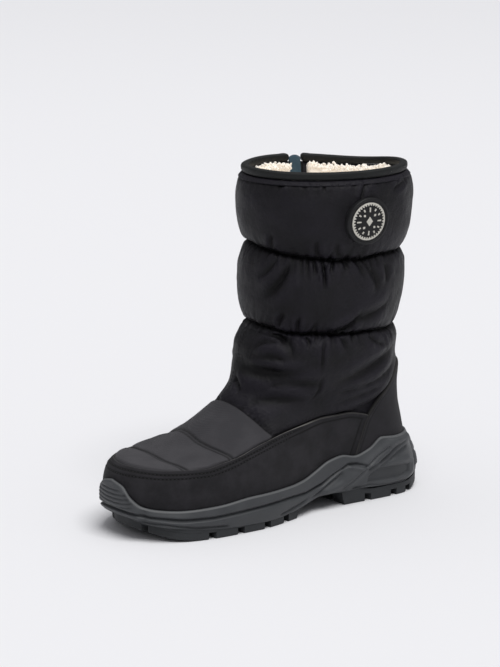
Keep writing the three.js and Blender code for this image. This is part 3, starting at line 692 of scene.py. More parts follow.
# %% The nylon shell
nylon_columns = 520
band_rows = (6, 64, 50, 50)
deepest_fold = -1.9
hidden_top = 57
nylon_start = math.radians(-100)


def crowded(count):
    """Shares from 0 to 1, closer together at both ends."""
    even = np.arange(count) / count
    return mix(even, (1 - np.cos(np.pi * even)) / 2, 0.75)


def height_of(level, angle):
    around = degrees(angle)
    knots = [feather_height + 0 * around, hidden_top + 0 * around, lower_line(around), upper_line(around),
             collar_height + 0 * around]
    band = np.clip(np.floor(level).astype(int), 0, 3)
    low, high = np.choose(band, knots[:4]), np.choose(band, knots[1:])
    return mix(low, high, level - band)


outer_levels = np.concatenate([band + crowded(rows) for band, rows in enumerate(band_rows)] + [[4]])
inner_levels = np.concatenate([np.linspace(4, 2, 9), np.linspace(1.95, 0, 44)])
shell_levels = np.concatenate([outer_levels, inner_levels, [0]])
shell_is_outer = np.arange(len(shell_levels)) < len(outer_levels)
shell_is_outer[-1] = True


def row_of(share, rows):
    return np.rint(share * (rows - 1)).astype(int)


def nylon_out(angle, height):
    """The distance of the nylon's face from the last."""
    tucked = -0.5 * (1 - smooth(bare_nylon(angle, height) / 2))
    return np.maximum(puffs(angle, height) + cloth_detail(angle, height) + tucked, deepest_fold)


def nylon_shell(s, t):
    angle = 2 * np.pi * s + nylon_start
    row = row_of(t, len(shell_levels))
    height = height_of(shell_levels[row], angle)
    return skin(angle, height, np.where(shell_is_outer[row], nylon_out(angle, height), -wall_thickness))


def nylon_cloth(s, t):
    row = row_of(t, len(shell_levels))
    return 2 * np.pi * s * shaft_radius, height_of(shell_levels[row], 0 * s)


def nylon_marks(s, t):
    """How far the cloth stands out of a crease, for a painted highlight on ridges and painted shade in
    troughs, and how near it is to a seam or beside a panel, for dark thread and painted shade.
    """
    angle = 2 * np.pi * s + nylon_start
    height = height_of(shell_levels[row_of(t, len(shell_levels))], angle)
    painted_panel_shadow = bump(bare_nylon(angle, height), 0.3, 0.8)
    seam = np.maximum(bump(from_seam(angle, height), 0, 1.3), painted_panel_shadow)
    return {"relief": clamp(0.5 + cloth_detail(angle, height) / 5), "seam": seam}


def zip_gap(name, width, low):
    """The space of the zip: a tall block through the inner side of the shaft."""
    high = boot_height + 20
    corners = [(-width / 2, low), (width / 2, low), (width / 2, high), (-width / 2, high)]
    return prism(name, corners, -shaft_width, -shaft_width / 5,
                 lambda a, b, depth: (zip_station + a, depth, b))


shaft_piece = fine_piece("padded_shaft", nylon_columns, len(shell_levels) - 1, nylon_shell,
                         cloth=nylon_cloth, marks=nylon_marks)
combine(shaft_piece, zip_gap("zip_space", zip_slot, zip_bottom), "DIFFERENCE")
print("padded shaft:", triangles(shaft_piece), "triangles")
rides(shaft_piece, "nylon", "upper")


# %% [markdown]
# ## Panels with cut edges
# Mudguard, heel counter and vamp are flat pieces of material, 1 to 2 mm thick, that lie on the nylon and
# end in a cut edge. A flat panel could get its wall from a Solidify modifier, but then its edge would be
# square. Here the outer sheet turns down to the inner one in five close steps, so the edge catches a thin
# light line, as in the photograph.

# %% Places on the surface, from lines in the side view
def height_on(angle, line):
    """The height at which the surface at an angle crosses the line z = line(x)."""
    return first_height(angle, lambda x, z: z > line(x))


def angle_on(height, line, side):
    """The angle at which a level of the surface passes behind the line x = line(z)."""
    def behind(turn):
        x, z = side_view(side * turn, height)
        return x < line(z)

    return side * solve(0 * height, np.pi + 0 * height, behind)


edge_steps = np.array([0, 0, 0.15, 0.4, 0.8])
edge_rise = np.array([0, 0.6, 0.85, 0.96, 1])


def edged_shares(count, length, start=True, end=True):
    """Shares along a panel of some length in millimetres, with its cut edges, and their rise."""
    steps = len(edge_steps)
    head = (edge_steps / length)[: steps if start else 1]
    tail = (1 - edge_steps[::-1] / length)[-steps if end else -1 :]
    head_rise = edge_rise if start else np.ones(1)
    tail_rise = edge_rise[::-1] if end else np.ones(1)
    middle = np.linspace(head[-1], tail[0], count)[1:-1]
    rise = np.concatenate([head_rise, np.ones(len(middle)), tail_rise])
    return np.concatenate([head, middle, tail]), rise


def side_panel(columns, high, front, sides, whole_turn, top):
    """Gives place(u, v) of a panel from the feather line up to an edge, and between edges up both sides."""
    levels = np.linspace(feather_height, high, 60)
    first, last = [angle_on(levels, front, side) for side in sides]

    def angle_at(u, height):
        return mix(np.interp(height, levels, first), whole_turn + np.interp(height, levels, last), u)

    def over(height):
        x, z = side_view(angle_at(columns, height), height)
        return z > top(x)

    top_heights = solve(feather_height + 0 * columns, high + 0 * columns, over)

    def place(u, v):
        height = mix(feather_height, np.interp(u, columns, top_heights), v)
        return angle_at(u, height), height

    return place


def panel_piece(name, place, columns, rows, outside, under=-0.5, inner_count=28, raw_edge_and_highlight=None, seam_shading=None):
    """place(u, v) gives angle and height, and outside(angle, height) the outer face over the swell.
    The optional edge function says how pale the cut edge is painted, a raw edge with a painted highlight,
    and the optional seam function where dark thread and painted shade darken it."""
    across, across_rise = columns
    along, along_rise = rows
    inner = np.linspace(along[-1], along[0], inner_count)
    shares = np.concatenate([along, inner, along[:1]])
    rise = np.concatenate([along_rise, np.zeros(inner_count), along_rise[:1]])

    def spot(s, t):
        column, row = row_of(s, len(across)), row_of(t, len(shares))
        angle, height = place(across[column], shares[row])
        return angle, height, np.minimum(across_rise[column], rise[row])

    def lay(s, t):
        angle, height, lift = spot(s, t)
        return skin(angle, height, puffs(angle, height) + mix(under, outside(angle, height), lift))

    def cloth(s, t):
        angle, height, _ = spot(s, t)
        return angle * shaft_radius, height

    def marks(s, t):
        angle, height, lift = spot(s, t)
        edge = np.where((lift > 0.3) & (lift < 0.99), 1.0, 0.0) * (raw_edge_and_highlight(angle, height) if raw_edge_and_highlight else 1)
        return {"edge": edge, "seam": clamp(seam_shading(angle, height)) if seam_shading else 0 * edge}

    return fine_piece(name, len(across) - 1, len(shares) - 1, lay, cloth=cloth, marks=marks)


# %% The mudguard
counter_overlap = 1.5
guard_stitch_rows = (1.9, 4.3)
guard_corner_row = 4
guard_columns = edged_shares(440, 480)
guard_rows = edged_shares(64, 44, start=False)
guard_place = side_panel(guard_columns[0], ankle_height, lambda z: counter_front(z) - counter_overlap,
                         (-1, 1), 0, mudguard_top)


def guard_seams(angle, height):
    """Two rows of stitches under the edge in front, and one row round the rear corner."""
    x, z = side_view(angle, height)
    below = mudguard_top(x) - z
    corner = np.minimum(below, 0.9 * (x - counter_front(z)))
    front = smooth((x - 125) / 25)
    rows = sum(bump(below, row, 0.5) for row in guard_stitch_rows)
    return front * rows + (1 - front) * bump(corner, guard_corner_row, 0.6)


def guard_edge_light(angle, height):
    """The cut edge is painted pale along the outer side, a raw edge with a painted highlight where it
    catches the light, and left dark at the toe and at the rear, where it lies in shade.
    """
    x, _ = side_view(angle, height)
    return 0.25 + 0.75 * smooth((x - 120) / 15) * smooth((228 - x) / 12)


def guard_face(angle, height):
    points = base(angle, height)
    below = mudguard_top(points[..., 0]) - points[..., 2]
    soft = 0.5 * noise(points, 22, 31) + 0.14 * noise(points, 8, 32)
    return seam_clearance + panel_thickness + soft * smooth(below / 5) - 0.4 * guard_seams(angle, height)


# As colour, the mudguard's seam rows paint dark thread and painted shade in their dents.
mudguard_panel = panel_piece("mudguard_panel", guard_place, guard_columns, guard_rows, guard_face,
                             raw_edge_and_highlight=guard_edge_light, seam_shading=guard_seams)
rides(mudguard_panel, "nubuck", "mudguard")

# %% [markdown]
# The heel counter is the second panel of nubuck. It lies over the mudguard, so it stands a little further
# out, and its front edge is folded into a low ridge. It is laid by the same functions as the mudguard, from
# the outer side round the heel.

# %% The heel counter
counter_rise = 0.5
counter_stitch_row = 3.4
counter_columns = edged_shares(260, 190)
counter_rows = edged_shares(72, 70, start=False)
counter_place = side_panel(counter_columns[0], panel_ceiling, counter_front, (1, -1), 2 * np.pi,
                           counter_top)


def from_counter_edges(angle, height):
    """How far a place is behind the counter's front edge, and how far from the nearer edge."""
    x, z = side_view(angle, height)
    behind = counter_front(z) - x
    return behind, np.minimum(np.abs(behind), np.abs(counter_top(x) - z))


def counter_face(angle, height):
    points = base(angle, height)
    behind, near = from_counter_edges(angle, height)
    fold = 0.55 * bump(behind, 1.2, 1.3) - 0.25 * bump(near, counter_stitch_row, 0.6)
    soft = 0.4 * noise(points, 20, 41) + 0.12 * noise(points, 7, 42)
    return seam_clearance + panel_thickness + counter_rise + fold + soft * smooth(near / 5)


# Colour only: dark thread and painted shade along the stitch row, and a painted shadow line at the
# counter's folded front edge.
def counter_seam_and_edge_shade(angle, height):
    behind, near = from_counter_edges(angle, height)
    return 0.6 * bump(near, counter_stitch_row, 0.6) + 0.9 * bump(behind, 0, 0.8)


heel_panel = panel_piece("heel_panel", counter_place, counter_columns, counter_rows, counter_face,
                         seam_shading=counter_seam_and_edge_shade)
rides(heel_panel, "nubuck", "heel_counter")

# %% [markdown]
# The vamp is a paler softshell over a thin foam, quilted by two stitched channels, so it rises between them
# like pads. The pads could be made with a sculpting brush. Here they rise by a curve of the distance to the
# nearer channel, which follows the channels wherever they are drawn.

# %% The vamp, padded between two stitched lines
vamp_tuck = 1.4
vamp_stitch_rows = (-1.1, 1.1)
vamp_angles = np.radians(np.linspace(-110, 110, 221))
vamp_lows = height_on(vamp_angles, lambda x: mudguard_top(x) - vamp_tuck)
vamp_highs = first_height(vamp_angles, lambda x, z: x < vamp_back(z))
open_angles = vamp_angles[vamp_highs > vamp_lows]
vamp_limits = open_angles[0], open_angles[-1]
vamp_columns = edged_shares(330, 210)
vamp_rows = edged_shares(150, 90)


def vamp_place(u, v):
    angle = mix(*vamp_limits, u)
    low, high = [np.interp(angle, vamp_angles, ends) for ends in (vamp_lows, vamp_highs)]
    return angle, mix(low, np.maximum(low, high), v)


def vamp_seam_and_edge_shade(angle, height):
    """Two close rows of stitches in each channel, painted dark for the thread and the shade in the channel,
    and a painted shadow line at the rear edge.
    """
    x, z = side_view(angle, height)
    around = degrees(angle)
    rows = sum(bump(x - line(around) - row, 0, 0.7) for line in stitch_lines for row in vamp_stitch_rows)
    return 0.8 * rows + bump(x - vamp_back(z), -0.2, 1.0)


def vamp_face(angle, height):
    points = base(angle, height)
    x, z = points[..., 0], points[..., 2]
    gaps = np.stack([x - line(degrees(angle)) for line in stitch_lines])
    near = np.take_along_axis(gaps, np.abs(gaps).argmin(0)[None], 0)[0]
    pads = 2.6 * pad_height * (1 - np.exp(-np.abs(near) / 4.5)) - 0.5
    grooves = 0.7 * sum(bump(near, row, 0.55) for row in vamp_stitch_rows)
    soft = 0.35 * noise(points, 18, 51) + 0.1 * noise(points, 7, 52)
    under_guard = smooth(mudguard_top(x) - z + 1)
    face = seam_clearance + vamp_thickness + pads - grooves + soft * smooth(np.abs(near) / 4)
    return mix(face, 0.9, under_guard)


vamp_panel = panel_piece("vamp_panel", vamp_place, vamp_columns, vamp_rows, vamp_face, seam_shading=vamp_seam_and_edge_shade)
rides(vamp_panel, "softshell", "vamp")

# %% [markdown]
# ## The cup sole
# The sole is one moulding that rises round the foot like a cup: a high toe bumper with short ribs, a low
# side with a lip, and a heel cup that a broad ridge climbs to. Such relief could be carved with many small
# solids. It is easier to draw each groove and ridge as a line in the side view, and to move the wall in or
# out by the distance to that line.

# %% Outline and levels of the sole
lug_depth = 5
plate_thickness = 4.5
lip_thickness = 2
toe_spring = 14
arch_rise = 6
heel_bevel = 8
toe_tuck = 4
bumper_height = 43
side_belly = 2.4
overlay_outside = seam_clearance + panel_thickness + cup_clearance
outline_row = {"ball": ball_width / 2, "waist": waist_width / 2, "heel": heel_width / 2}


def outline(angle, inset):
    x = sole_length * (1 + np.cos(angle)) / 2
    rounded = opened((sole_length - x) / (0.29 * sole_length), 2.4) * opened(x / (0.15 * sole_length), 2.2)
    y = np.sign(np.sin(angle)) * half_width(outline_row, x) * rounded
    shrink = 1 - 2 * inset / sole_length
    return mix(sole_length / 2, x, shrink), swing(x) + y * (1 - inset / outline_row["ball"])


def tuck(angle):
    return edge_inset + toe_tuck * smooth((np.cos(angle) - 0.8) / 0.2)


def underside(x):
    share = x / sole_length
    toe = toe_spring * clamp((share - 0.78) / 0.22) ** 2.6
    return toe + heel_bevel * clamp((0.1 - share) / 0.1) ** 1.2


def plate_bottom(x):
    share = x / sole_length
    arch = arch_rise * smooth((share - 0.22) / 0.13) * smooth((0.58 - share) / 0.13)
    return underside(x) + lug_depth + arch


top_line = curve(
    [0, 0.045, 0.074, 0.109, 0.159, 0.228, 0.307, 0.396, 0.485, 0.519, 0.553, 0.592, 0.626, 0.66, 0.699,
     0.741, 0.792, 1],
    np.array([1, 0.93, 0.77, 0.63, 0.575, 0.545, 0.565, 0.63, 0.635, 0.665, 0.76, 0.9, 0.95, 0.895, 0.985,
              1.16, 1.12, 1.04]) * bumper_height,
)
tread_line = curve(
    [0, 21, 36, 59, 80, 95, 112, 141, 165, 203, 224, 251, 267, 283],
    [15.5, 12.2, 9.8, 10.3, 11.2, 10.8, 12.2, 7.6, 5.6, 6.2, 7.6, 10.8, 13.4, 19.5],
)


def round_share(angle):
    return np.abs(degrees(angle)) / 180


def floor_height(angle):
    edges = [skin(turn * angle, feather_height + 0 * angle, out + 0 * angle)[..., 2]
             for turn in (1, -1) for out in (-wall_thickness, seam_clearance + panel_thickness)]
    return np.min(edges, axis=0) - seam_clearance


# %% Relief of the side wall, drawn in the side view
# Each stroke is a line of stations and levels in millimetres. The wall moves by the depth on the line, in
# for a groove and out for a ridge, and the move fades over the width.
side_strokes = [
    (-1.5, 1.1, [(280, 23), (275, 21.6), (267, 19.2), (247, 16.6), (224, 16.3), (191, 18), (171, 18.8),
                 (151, 19), (135, 18.6), (117, 22.1), (102, 28.7), (91, 33.1), (84, 32.4), (75, 29.7)]),
    (-0.9, 1.0, [(281, 18), (275, 16.7), (259, 14.3), (238, 10.5), (214, 9)]),
    (-0.8, 1.3, [(163, 8.5), (141, 11.5), (121, 16), (104, 23.5), (98, 27)]),
    (0.6, 2.2, [(150, 7), (130, 9.5), (112, 14.5), (98, 20)]),
    (1.9, 4.6, [(112, 13.5), (95, 17), (80.5, 27), (70, 33), (59, 40), (47, 45.5), (29, 45)]),
    (-0.8, 1.4, [(72, 27), (62, 31), (53, 36), (44, 41), (36, 42.5)]),
    (-0.7, 1.4, [(60, 28), (50, 31.5), (42, 36), (33, 38)]),
    (0.7, 2.4, [(64, 29.5), (46, 29), (30, 27.5), (24, 24), (24, 16), (30, 12.8), (52, 12.2), (76, 12.6)]),
    (0.8, 1.8, [(16, 40), (13, 30), (14, 20)]),
    (-0.9, 1.1, [(96, 15), (84, 22), (74, 30), (64, 37), (54, 42)]),
    (0.8, 1.6, [(90, 31), (78, 28), (66, 31), (54, 38)]),
    (-0.8, 1.0, [(84, 12.5), (70, 13.5), (50, 10.8), (30, 11)]),
    (0.7, 1.4, [(135, 12), (120, 18), (108, 25), (98, 30)]),
    (-0.7, 1.5, [(20, 38), (18, 29), (18, 20)]),
]
pocket_corners = [(72, 21), (63, 26), (45, 25.5), (29, 23.6), (28.5, 17), (40, 14.4), (60, 15), (72, 16)]
pocket_depth = 1.5
stroke_gain = 1.6
rib_depth = 0.8
bumper_end, bumper_ease, bumper_rise = 0.108, 0.014, 0.9
bumper_groove, groove_width, groove_depth = 0.115, 0.006, 0.5
heel_grooves = (9, 17)
toe_ribs = [(37.5, 0.05), (34.2, 0.078), (31, 0.092), (27.8, 0.096), (24.6, 0.092)]


def line_distance(x, z, corners):
    """The distance in the side view to a line through corners."""
    least = np.full(np.shape(x), 1e9)
    for (x0, z0), (x1, z1) in zip(corners, corners[1:]):
        run, rise = x1 - x0, z1 - z0
        share = clamp(((x - x0) * run + (z - z0) * rise) / (run**2 + rise**2))
        least = np.minimum(least, np.hypot(x - x0 - share * run, z - z0 - share * rise))
    return least


def inside_of(x, z, corners):
    """Whether a place in the side view lies inside a closed outline."""
    held = np.zeros(np.shape(x), bool)
    for (x0, z0), (x1, z1) in zip(corners, corners[1:] + corners[:1]):
        crosses = ((z0 > z) != (z1 > z)) & (x < (x1 - x0) * (z - z0) / (z1 - z0 + 1e-9) + x0)
        held ^= crosses
    return held


def relief(x, z, top, turn):
    """How far the side wall moves out. turn is the share of the half round, from the toe to the heel."""
    moved = np.zeros(np.shape(x))
    for depth, width, corners in side_strokes:
        moved += stroke_gain * depth * bump(line_distance(x, z, corners), 0, width)
    edge = line_distance(x, z, pocket_corners + pocket_corners[:1])
    signed = np.where(inside_of(x, z, pocket_corners), edge, -edge)
    moved -= pocket_depth * smooth((signed + 0.6) / 1.8)
    bumper = smooth((bumper_end - turn) / bumper_ease)
    moved += bumper_rise * bumper - groove_depth * bump(turn, bumper_groove, groove_width)
    for level, reach in toe_ribs:
        moved -= rib_depth * bump(z, level + 3 * (turn / 0.1) ** 2, 0.7) * smooth((reach - turn) / 0.02)
    back = smooth((20 - x) / 10)
    moved -= rib_depth * back * sum(bump(z, top - drop, 1.2) for drop in heel_grooves)
    return moved


# %% The cup
cup_columns = 560
cup_side_rows = 84
lip_steps = [(1, 1.0), (1.012, 0.9), (1.02, 0.7), (1.024, 0.4), (1.02, 0.1), (1.0, 0)]
lip_scale = 40
lip_root = overlay_outside - 0.2
cup_inner_rows = 6
cup_rows = 1 + cup_side_rows + len(lip_steps) + cup_inner_rows + 1


def cup_rim(angle):
    """The height of the cup's rim on the last."""
    top = top_line(round_share(angle))
    return first_height(angle, lambda x, z: z > top, ankle_height)


def cup_side(angle, row, rim):
    """Points of the side wall, and how far its relief moves them."""
    x, y = outline(angle, tuck(angle))
    foot = np.stack([x, y, tread_line(x)], -1)
    lip = skin(angle, rim, overlay_outside + lip_thickness + 0 * angle)
    side = clamp((row - 1) / (cup_side_rows - 1))
    side = mix(side, (1 - np.cos(np.pi * side)) / 2, 0.35)
    wall = foot + (lip - foot) * side[..., None]
    belly = side_belly * np.sin(np.pi * side**0.8) * (1 - 0.4 * side)
    shape = relief(wall[..., 0], wall[..., 2], top_line(round_share(angle)), round_share(angle))
    shape = shape * smooth(side / 0.03) * smooth((1 - side) / 0.05)
    away = unit(normal(angle, rim) * [1, 1, 0])
    return wall + away * (belly + shape)[..., None], shape


def cup_lay(s, t):
    angle = 2 * np.pi * s - np.pi / 2
    row = row_of(t, cup_rows)
    rim = cup_rim(angle)
    wall, _ = cup_side(angle, row, rim)
    x = outline(angle, tuck(angle))[0]
    line = tread_line(x)
    step = np.clip(row - 1 - cup_side_rows, 0, len(lip_steps) - 1)
    steps = np.array(lip_steps)
    rolled = skin(angle, rim, mix(lip_root, overlay_outside + lip_thickness, steps[step, 1]))
    rolled[..., 2] += (steps[step, 0] - 1) * lip_scale
    down = clamp((row - cup_side_rows - len(lip_steps)) / cup_inner_rows)
    inner = skin(angle, mix(rim, feather_height, down), lip_root)
    floor = floor_height(angle)
    inner[..., 2] = np.where(down >= 1, floor, inner[..., 2])
    middle = np.stack([x, swing(x), np.where(row == 0, line, floor)], -1)
    points = np.where((row <= cup_side_rows)[..., None], wall, rolled)
    points = np.where((row > cup_side_rows + len(lip_steps))[..., None], inner, points)
    return np.where(((row == 0) | (row == cup_rows - 1))[..., None], middle, points)


def cup_marks(s, t):
    """The lip's crest, for a painted highlight along it, and the height of the relief, for painted light on
    ridges and painted shade in grooves.
    """
    row, angle = row_of(t, cup_rows), 2 * np.pi * s - np.pi / 2
    edge = 1.0 * (row >= cup_side_rows - 1) * (row <= cup_side_rows + 3)
    _, shape = cup_side(angle, row, cup_rim(angle))
    return {"edge": edge, "relief": clamp(0.5 + shape / 4)}


cup_sole = fine_piece("cup_sole", cup_columns, cup_rows - 1, cup_lay, marks=cup_marks)
rides(cup_sole, "cup", "midsole")

# %% [markdown]
# ## The tread
# The dark rubber under the cup has lugs: chevrons across, two waving channels along, and a step up under
# the arch. Grooves are cut out with a Boolean modifier, as a mould's ribs would do.

# %% The tread's body and its grooves
notch_width = 6
channel_width = 4.8
channel_wave = 3
notch_stations = [0.862, 0.784, 0.698, 0.612, 0.54, 0.233, 0.143, 0.085]
tread_columns = 360
tread_round = [(1.4, 0), (0.5, 0.12), (0.15, 0.4), (0, 1.0), (0, 2.0)]
tread_side_rows = 10
tread_inset = 0.25
toe_set_back = 6


def plan_prism(name, corners):
    """A prism straight up through the lugs, from its corners in plan."""
    return prism(name, corners, -5, lug_depth + toe_spring + 25, lambda a, b, depth: (a, b, depth))


def tread_body(name, low_of, high_of):
    """A layer of the tread between two levels, with its lower edge rounded."""
    rounds = np.array(tread_round)
    count = len(rounds) + tread_side_rows + 2

    def lay(s, t):
        angle = 2 * np.pi * s - np.pi / 2
        row = row_of(t, count)
        foot = np.clip(row - 1, 0, len(rounds) - 1)
        set_back = toe_set_back * smooth((np.cos(angle) - 0.72) / 0.28)
        x, y = outline(angle, tuck(angle) + tread_inset + set_back + rounds[foot, 0])
        up = clamp((row - len(rounds)) / tread_side_rows)
        z = mix(low_of(x) + rounds[foot, 1], high_of(x), up)
        ends = (row == 0) | (row == count - 1)
        return np.stack([x, np.where(ends, swing(x), y), np.where(row == 0, low_of(x), z)], -1)

    return fine_piece(name, tread_columns, count - 1, lay)


def groove_cutters():
    """One piece with all the grooves that the mould leaves between the lugs."""
    half, reach = notch_width / 2, ball_width
    outlines = []
    for station in notch_stations:
        x, tip = station * sole_length, station * sole_length + notch_width
        outer = 0.3 * ball_width if station == notch_stations[0] else reach
        outlines.append([(x - half, -reach), (tip - half, 0), (x - half, outer), (x + half, outer),
                         (tip + half, 0), (x + half, -reach)])
    for side in (-1, 1):
        x = np.linspace(-10, sole_length + 10, 60)
        y = side * (ball_width / 6 + channel_wave * np.sin(7 * np.pi * x / sole_length)) + swing(x)
        left, right = y - channel_width / 2, y + channel_width / 2
        outlines.append(list(zip(x, left)) + list(zip(x[::-1], right[::-1])))
    body = plan_prism("grooves", outlines[0])
    for corners in outlines[1:]:
        combine(body, plan_prism("groove", corners), "UNION")
    return body


def arch_prism(name):
    rows = [(0.318, -1), (0.33, 1), (0.34, 3), (0.492, 3), (0.502, 1), (0.512, -1)]
    corners = [(station * sole_length, level * lug_depth) for station, level in rows]
    return prism(name, corners, -ball_width, ball_width, lambda a, b, depth: (a, depth, b))


# %% Plate and lugs
tread_plate = tread_body("tread_plate", plate_bottom, lambda x: plate_bottom(x) + plate_thickness - 0.3)
tread_lugs = tread_body("tread", underside, lambda x: plate_bottom(x) + 0.6)
combine(tread_lugs, groove_cutters(), "DIFFERENCE")
combine(tread_lugs, arch_prism("arch_space"), "DIFFERENCE")
combine(tread_lugs, tread_plate, "UNION")
tread_lugs.data.set_sharp_from_angle(angle=math.radians(35))
print("tread:", triangles(tread_lugs), "triangles")
rides(tread_lugs, "tread", "outsole")

# %% [markdown]
# ## Fleece inside
# The lining is a curly pile fleece. Strands of hair would be far too many, so a thick shell with lumps
# gives the body of the pile, and small tufts round its top give the ragged edge that shows under the
# binding. It stops short of the zip, where the tape shows.

# %% The lining and its tufts
fleece_columns = 320
fleece_rows = 64
fleece_wall = 3
fleece_top = 2.6
pile_depth = 1.7
gap_ahead, gap_behind = 6, 9.5
tuft_count = 2200
tuft_size = 1.5


def zip_angle(height, ahead):
    """The angle of a place beside the zip on the inner side of the boot."""
    return angle_on(height, lambda z: zip_station + ahead + 0 * z, -1)


fleece_levels = np.linspace(feather_height, collar_height, 60)
gap_front = zip_angle(fleece_levels, gap_ahead)
gap_back = zip_angle(fleece_levels, -gap_behind)


def fleece_angle(s, height):
    """Round the boot from the zip's front edge, past the toe, to its back edge; closed below the zip."""
    front, back = [np.interp(height, fleece_levels, ends) for ends in (gap_front, gap_back)]
    middle = (front + back) / 2
    open_part = smooth((height - zip_bottom) / 10)
    front, back = mix(middle, front, open_part), mix(middle, back, open_part)
    return mix(front, back + 2 * np.pi, s)


def curls(points):
    return 0.8 * np.abs(noise(points, 4.2, 61)) + 0.45 * np.abs(noise(points, 2.3, 62))


def fleece_lay(s, t):
    row = row_of(t, 2 * fleece_rows + 1)
    level = np.where(row < fleece_rows, row, 2 * fleece_rows - 1 - row) / (fleece_rows - 1)
    level = np.where(row == 2 * fleece_rows, 0, level)
    height = mix(feather_height + 1, collar_height - fleece_top, level**0.7)
    angle = fleece_angle(s, height)
    inner = (row >= fleece_rows) & (row < 2 * fleece_rows)
    ends = smooth(np.minimum(s, 1 - s) / 0.004)
    curled = fleece_wall + pile_depth * curls(base(angle, height))
    depth = wall_thickness - 0.3 + np.where(inner, curled, 0) * ends
    return skin(angle, height, -depth)


fleece = fine_piece("fleece_lining", fleece_columns, 2 * fleece_rows, fleece_lay)
draw = np.random.default_rng(7)
tuft_heights = collar_height - fleece_top + draw.normal(-1.5, 1.3, tuft_count)
tuft_angles = fleece_angle(draw.uniform(0.002, 0.998, tuft_count), tuft_heights)
tuft_out = -wall_thickness - draw.uniform(0.6, 4.6, tuft_count)
tuft_rise = 1.3 * clamp(noise(laid_flat(tuft_angles), 11, 63) + 0.4)
tuft_places = skin(tuft_angles, np.minimum(tuft_heights, collar_height), tuft_out)
tuft_places[..., 2] += tuft_rise
tuft_matrices = []
for place in world(tuft_places):
    turn = Matrix.Rotation(draw.uniform(0, 6), 4, Vector(draw.normal(size=3)))
    shape = Matrix.Diagonal((*(tuft_size * mm * draw.uniform([0.5, 0.4, 0.9], [0.9, 0.7, 1.5])), 1))
    tuft_matrices.append(Matrix.Translation(place) @ turn @ shape)
tuft_mesh = many_balls("tufts", tuft_matrices)
both = bmesh.new()
both.from_mesh(fleece.data)
both.from_mesh(tuft_mesh)
both.to_mesh(fleece.data)
both.free()
fleece.data.shade_smooth()
print("fleece:", triangles(fleece), "triangles")
rides(fleece, "felt")

# %% [markdown]
# The insole is a sheet of felt on the cup's floor. Hardly any of it is seen down the shaft, so it is a
# plain closed sheet with a rounded edge, and noise on its top stands for the pile.

# %% The insole
insole_height = 4
insole_margin = 1.2
insole_rows = 24


def insole_lay(s, t):
    angle = 2 * np.pi * s - np.pi / 2
    row = row_of(t, insole_rows)
    on_top = (row - 4) / (insole_rows - 5)
    inward = np.select([row < 2, row < 5], [np.where(row == 0, 1, 0), 0 * row], on_top)
    edge = skin(angle, feather_height + 0 * angle, -wall_thickness - insole_margin + 0 * angle)
    middle = np.stack([edge[..., 0], swing(edge[..., 0])], -1)
    flat = edge[..., :2] + (middle - edge[..., :2]) * inward[..., None]
    low = floor_height(angle) + seam_clearance
    rise = np.select([row < 2, row == 2, row == 3], [0 * s, 0.6 + 0 * s, 0.9 + 0 * s], 1.0)
    pile = 0.5 * noise(flat, 3, 71) * (row > 4)
    return np.concatenate([flat, (low + insole_height * rise + pile)[..., None]], -1)


insole_felt = fine_piece("insole_felt", 300, insole_rows - 1, insole_lay)
rides(insole_felt, "felt", "insole")

# %% [markdown]
# ## The collar binding
# A strip of tape is folded over the raw edge of the collar and parted at the zip, where its ends are
# tucked in. A curve with a round bevel would look like a cord. The section here is a fold: flat outside and
# inside, round on top, and it swells and narrows a little on the way.

# %% The binding
binding_columns = 620
binding_corners = 30
end_round = 3.2
fold_square = 0.62
binding_gap = zip_slot / 2 + 0.1
zip_sides = [float(zip_angle(np.array([collar_height]), side * binding_gap)[0]) for side in (1, -1)]


def binding_lay(s, t):
    angle = mix(zip_sides[0], zip_sides[1] + 2 * np.pi, s)
    rim = base(angle, collar_height + 0 * angle)
    away = unit(normal(angle, collar_height + 0 * angle) * [1, 1, 0])
    turn = 2 * np.pi * t
    length = (zip_sides[1] + 2 * np.pi - zip_sides[0]) * shaft_radius
    from_end = np.minimum(s, 1 - s) * length
    full = np.sqrt(clamp(1 - (1 - clamp(from_end / end_round)) ** 2.4))
    curl = 1 + 0.1 * bump(from_end, 4, 3)
    thick = binding_thickness * (1 + 0.07 * noise(laid_flat(angle), 19, 81)) * curl
    tall = binding_height * (1 + 0.04 * noise(laid_flat(angle), 27, 82)) * curl
    across = np.sign(np.cos(turn)) * np.abs(np.cos(turn)) ** fold_square * thick / 2
    up = np.sign(np.sin(turn)) * np.abs(np.sin(turn)) ** fold_square * tall / 2
    pinch = 1 - 0.1 * clamp(-np.sin(turn)) * np.abs(np.cos(turn))
    wrinkle = 0.16 * noise(laid_flat(angle, turn * 3), 5, 83)
    across = (across * pinch + wrinkle * np.cos(turn)) * full
    middle = binding_overhang - binding_thickness / 2
    points = rim + away * (middle + across)[..., None]
    points[..., 2] = rim[..., 2] + seam_clearance + binding_height / 2 + up * full
    return points


def binding_cloth(s, t):
    return s * 2 * np.pi * shaft_radius, t * 20


binding_tape = fine_piece("binding_tape", binding_columns, binding_corners, binding_lay,
                          cloth=binding_cloth)
rides(binding_tape, "binding", "collar_binding")

# %% [markdown]
# Below the binding the photograph shows a narrow flat edge of nylon, where the tape is stitched on. It
# could be drawn by the material alone, but then it would cast no shadow on the puff. It is a thin panel
# here, made like the other panels.

# %% The stitched edge under the binding
skirt_height = 3.2
skirt_highlight = 0.9


def skirt_place(u, v):
    height = collar_height - skirt_height * (1 - v)
    return mix(zip_sides[0] + 0.01, zip_sides[1] + 2 * np.pi - 0.01, u), height


def skirt_face(angle, height):
    ease = 0.15 * noise(laid_flat(angle), 12, 84)
    return 0.35 + ease + 0.3 * bump(height, collar_height - skirt_height + 0.5, 0.4)


binding_edge = panel_piece("binding_edge", skirt_place, edged_shares(620, 390),
                           edged_shares(8, skirt_height), skirt_face, inner_count=4)
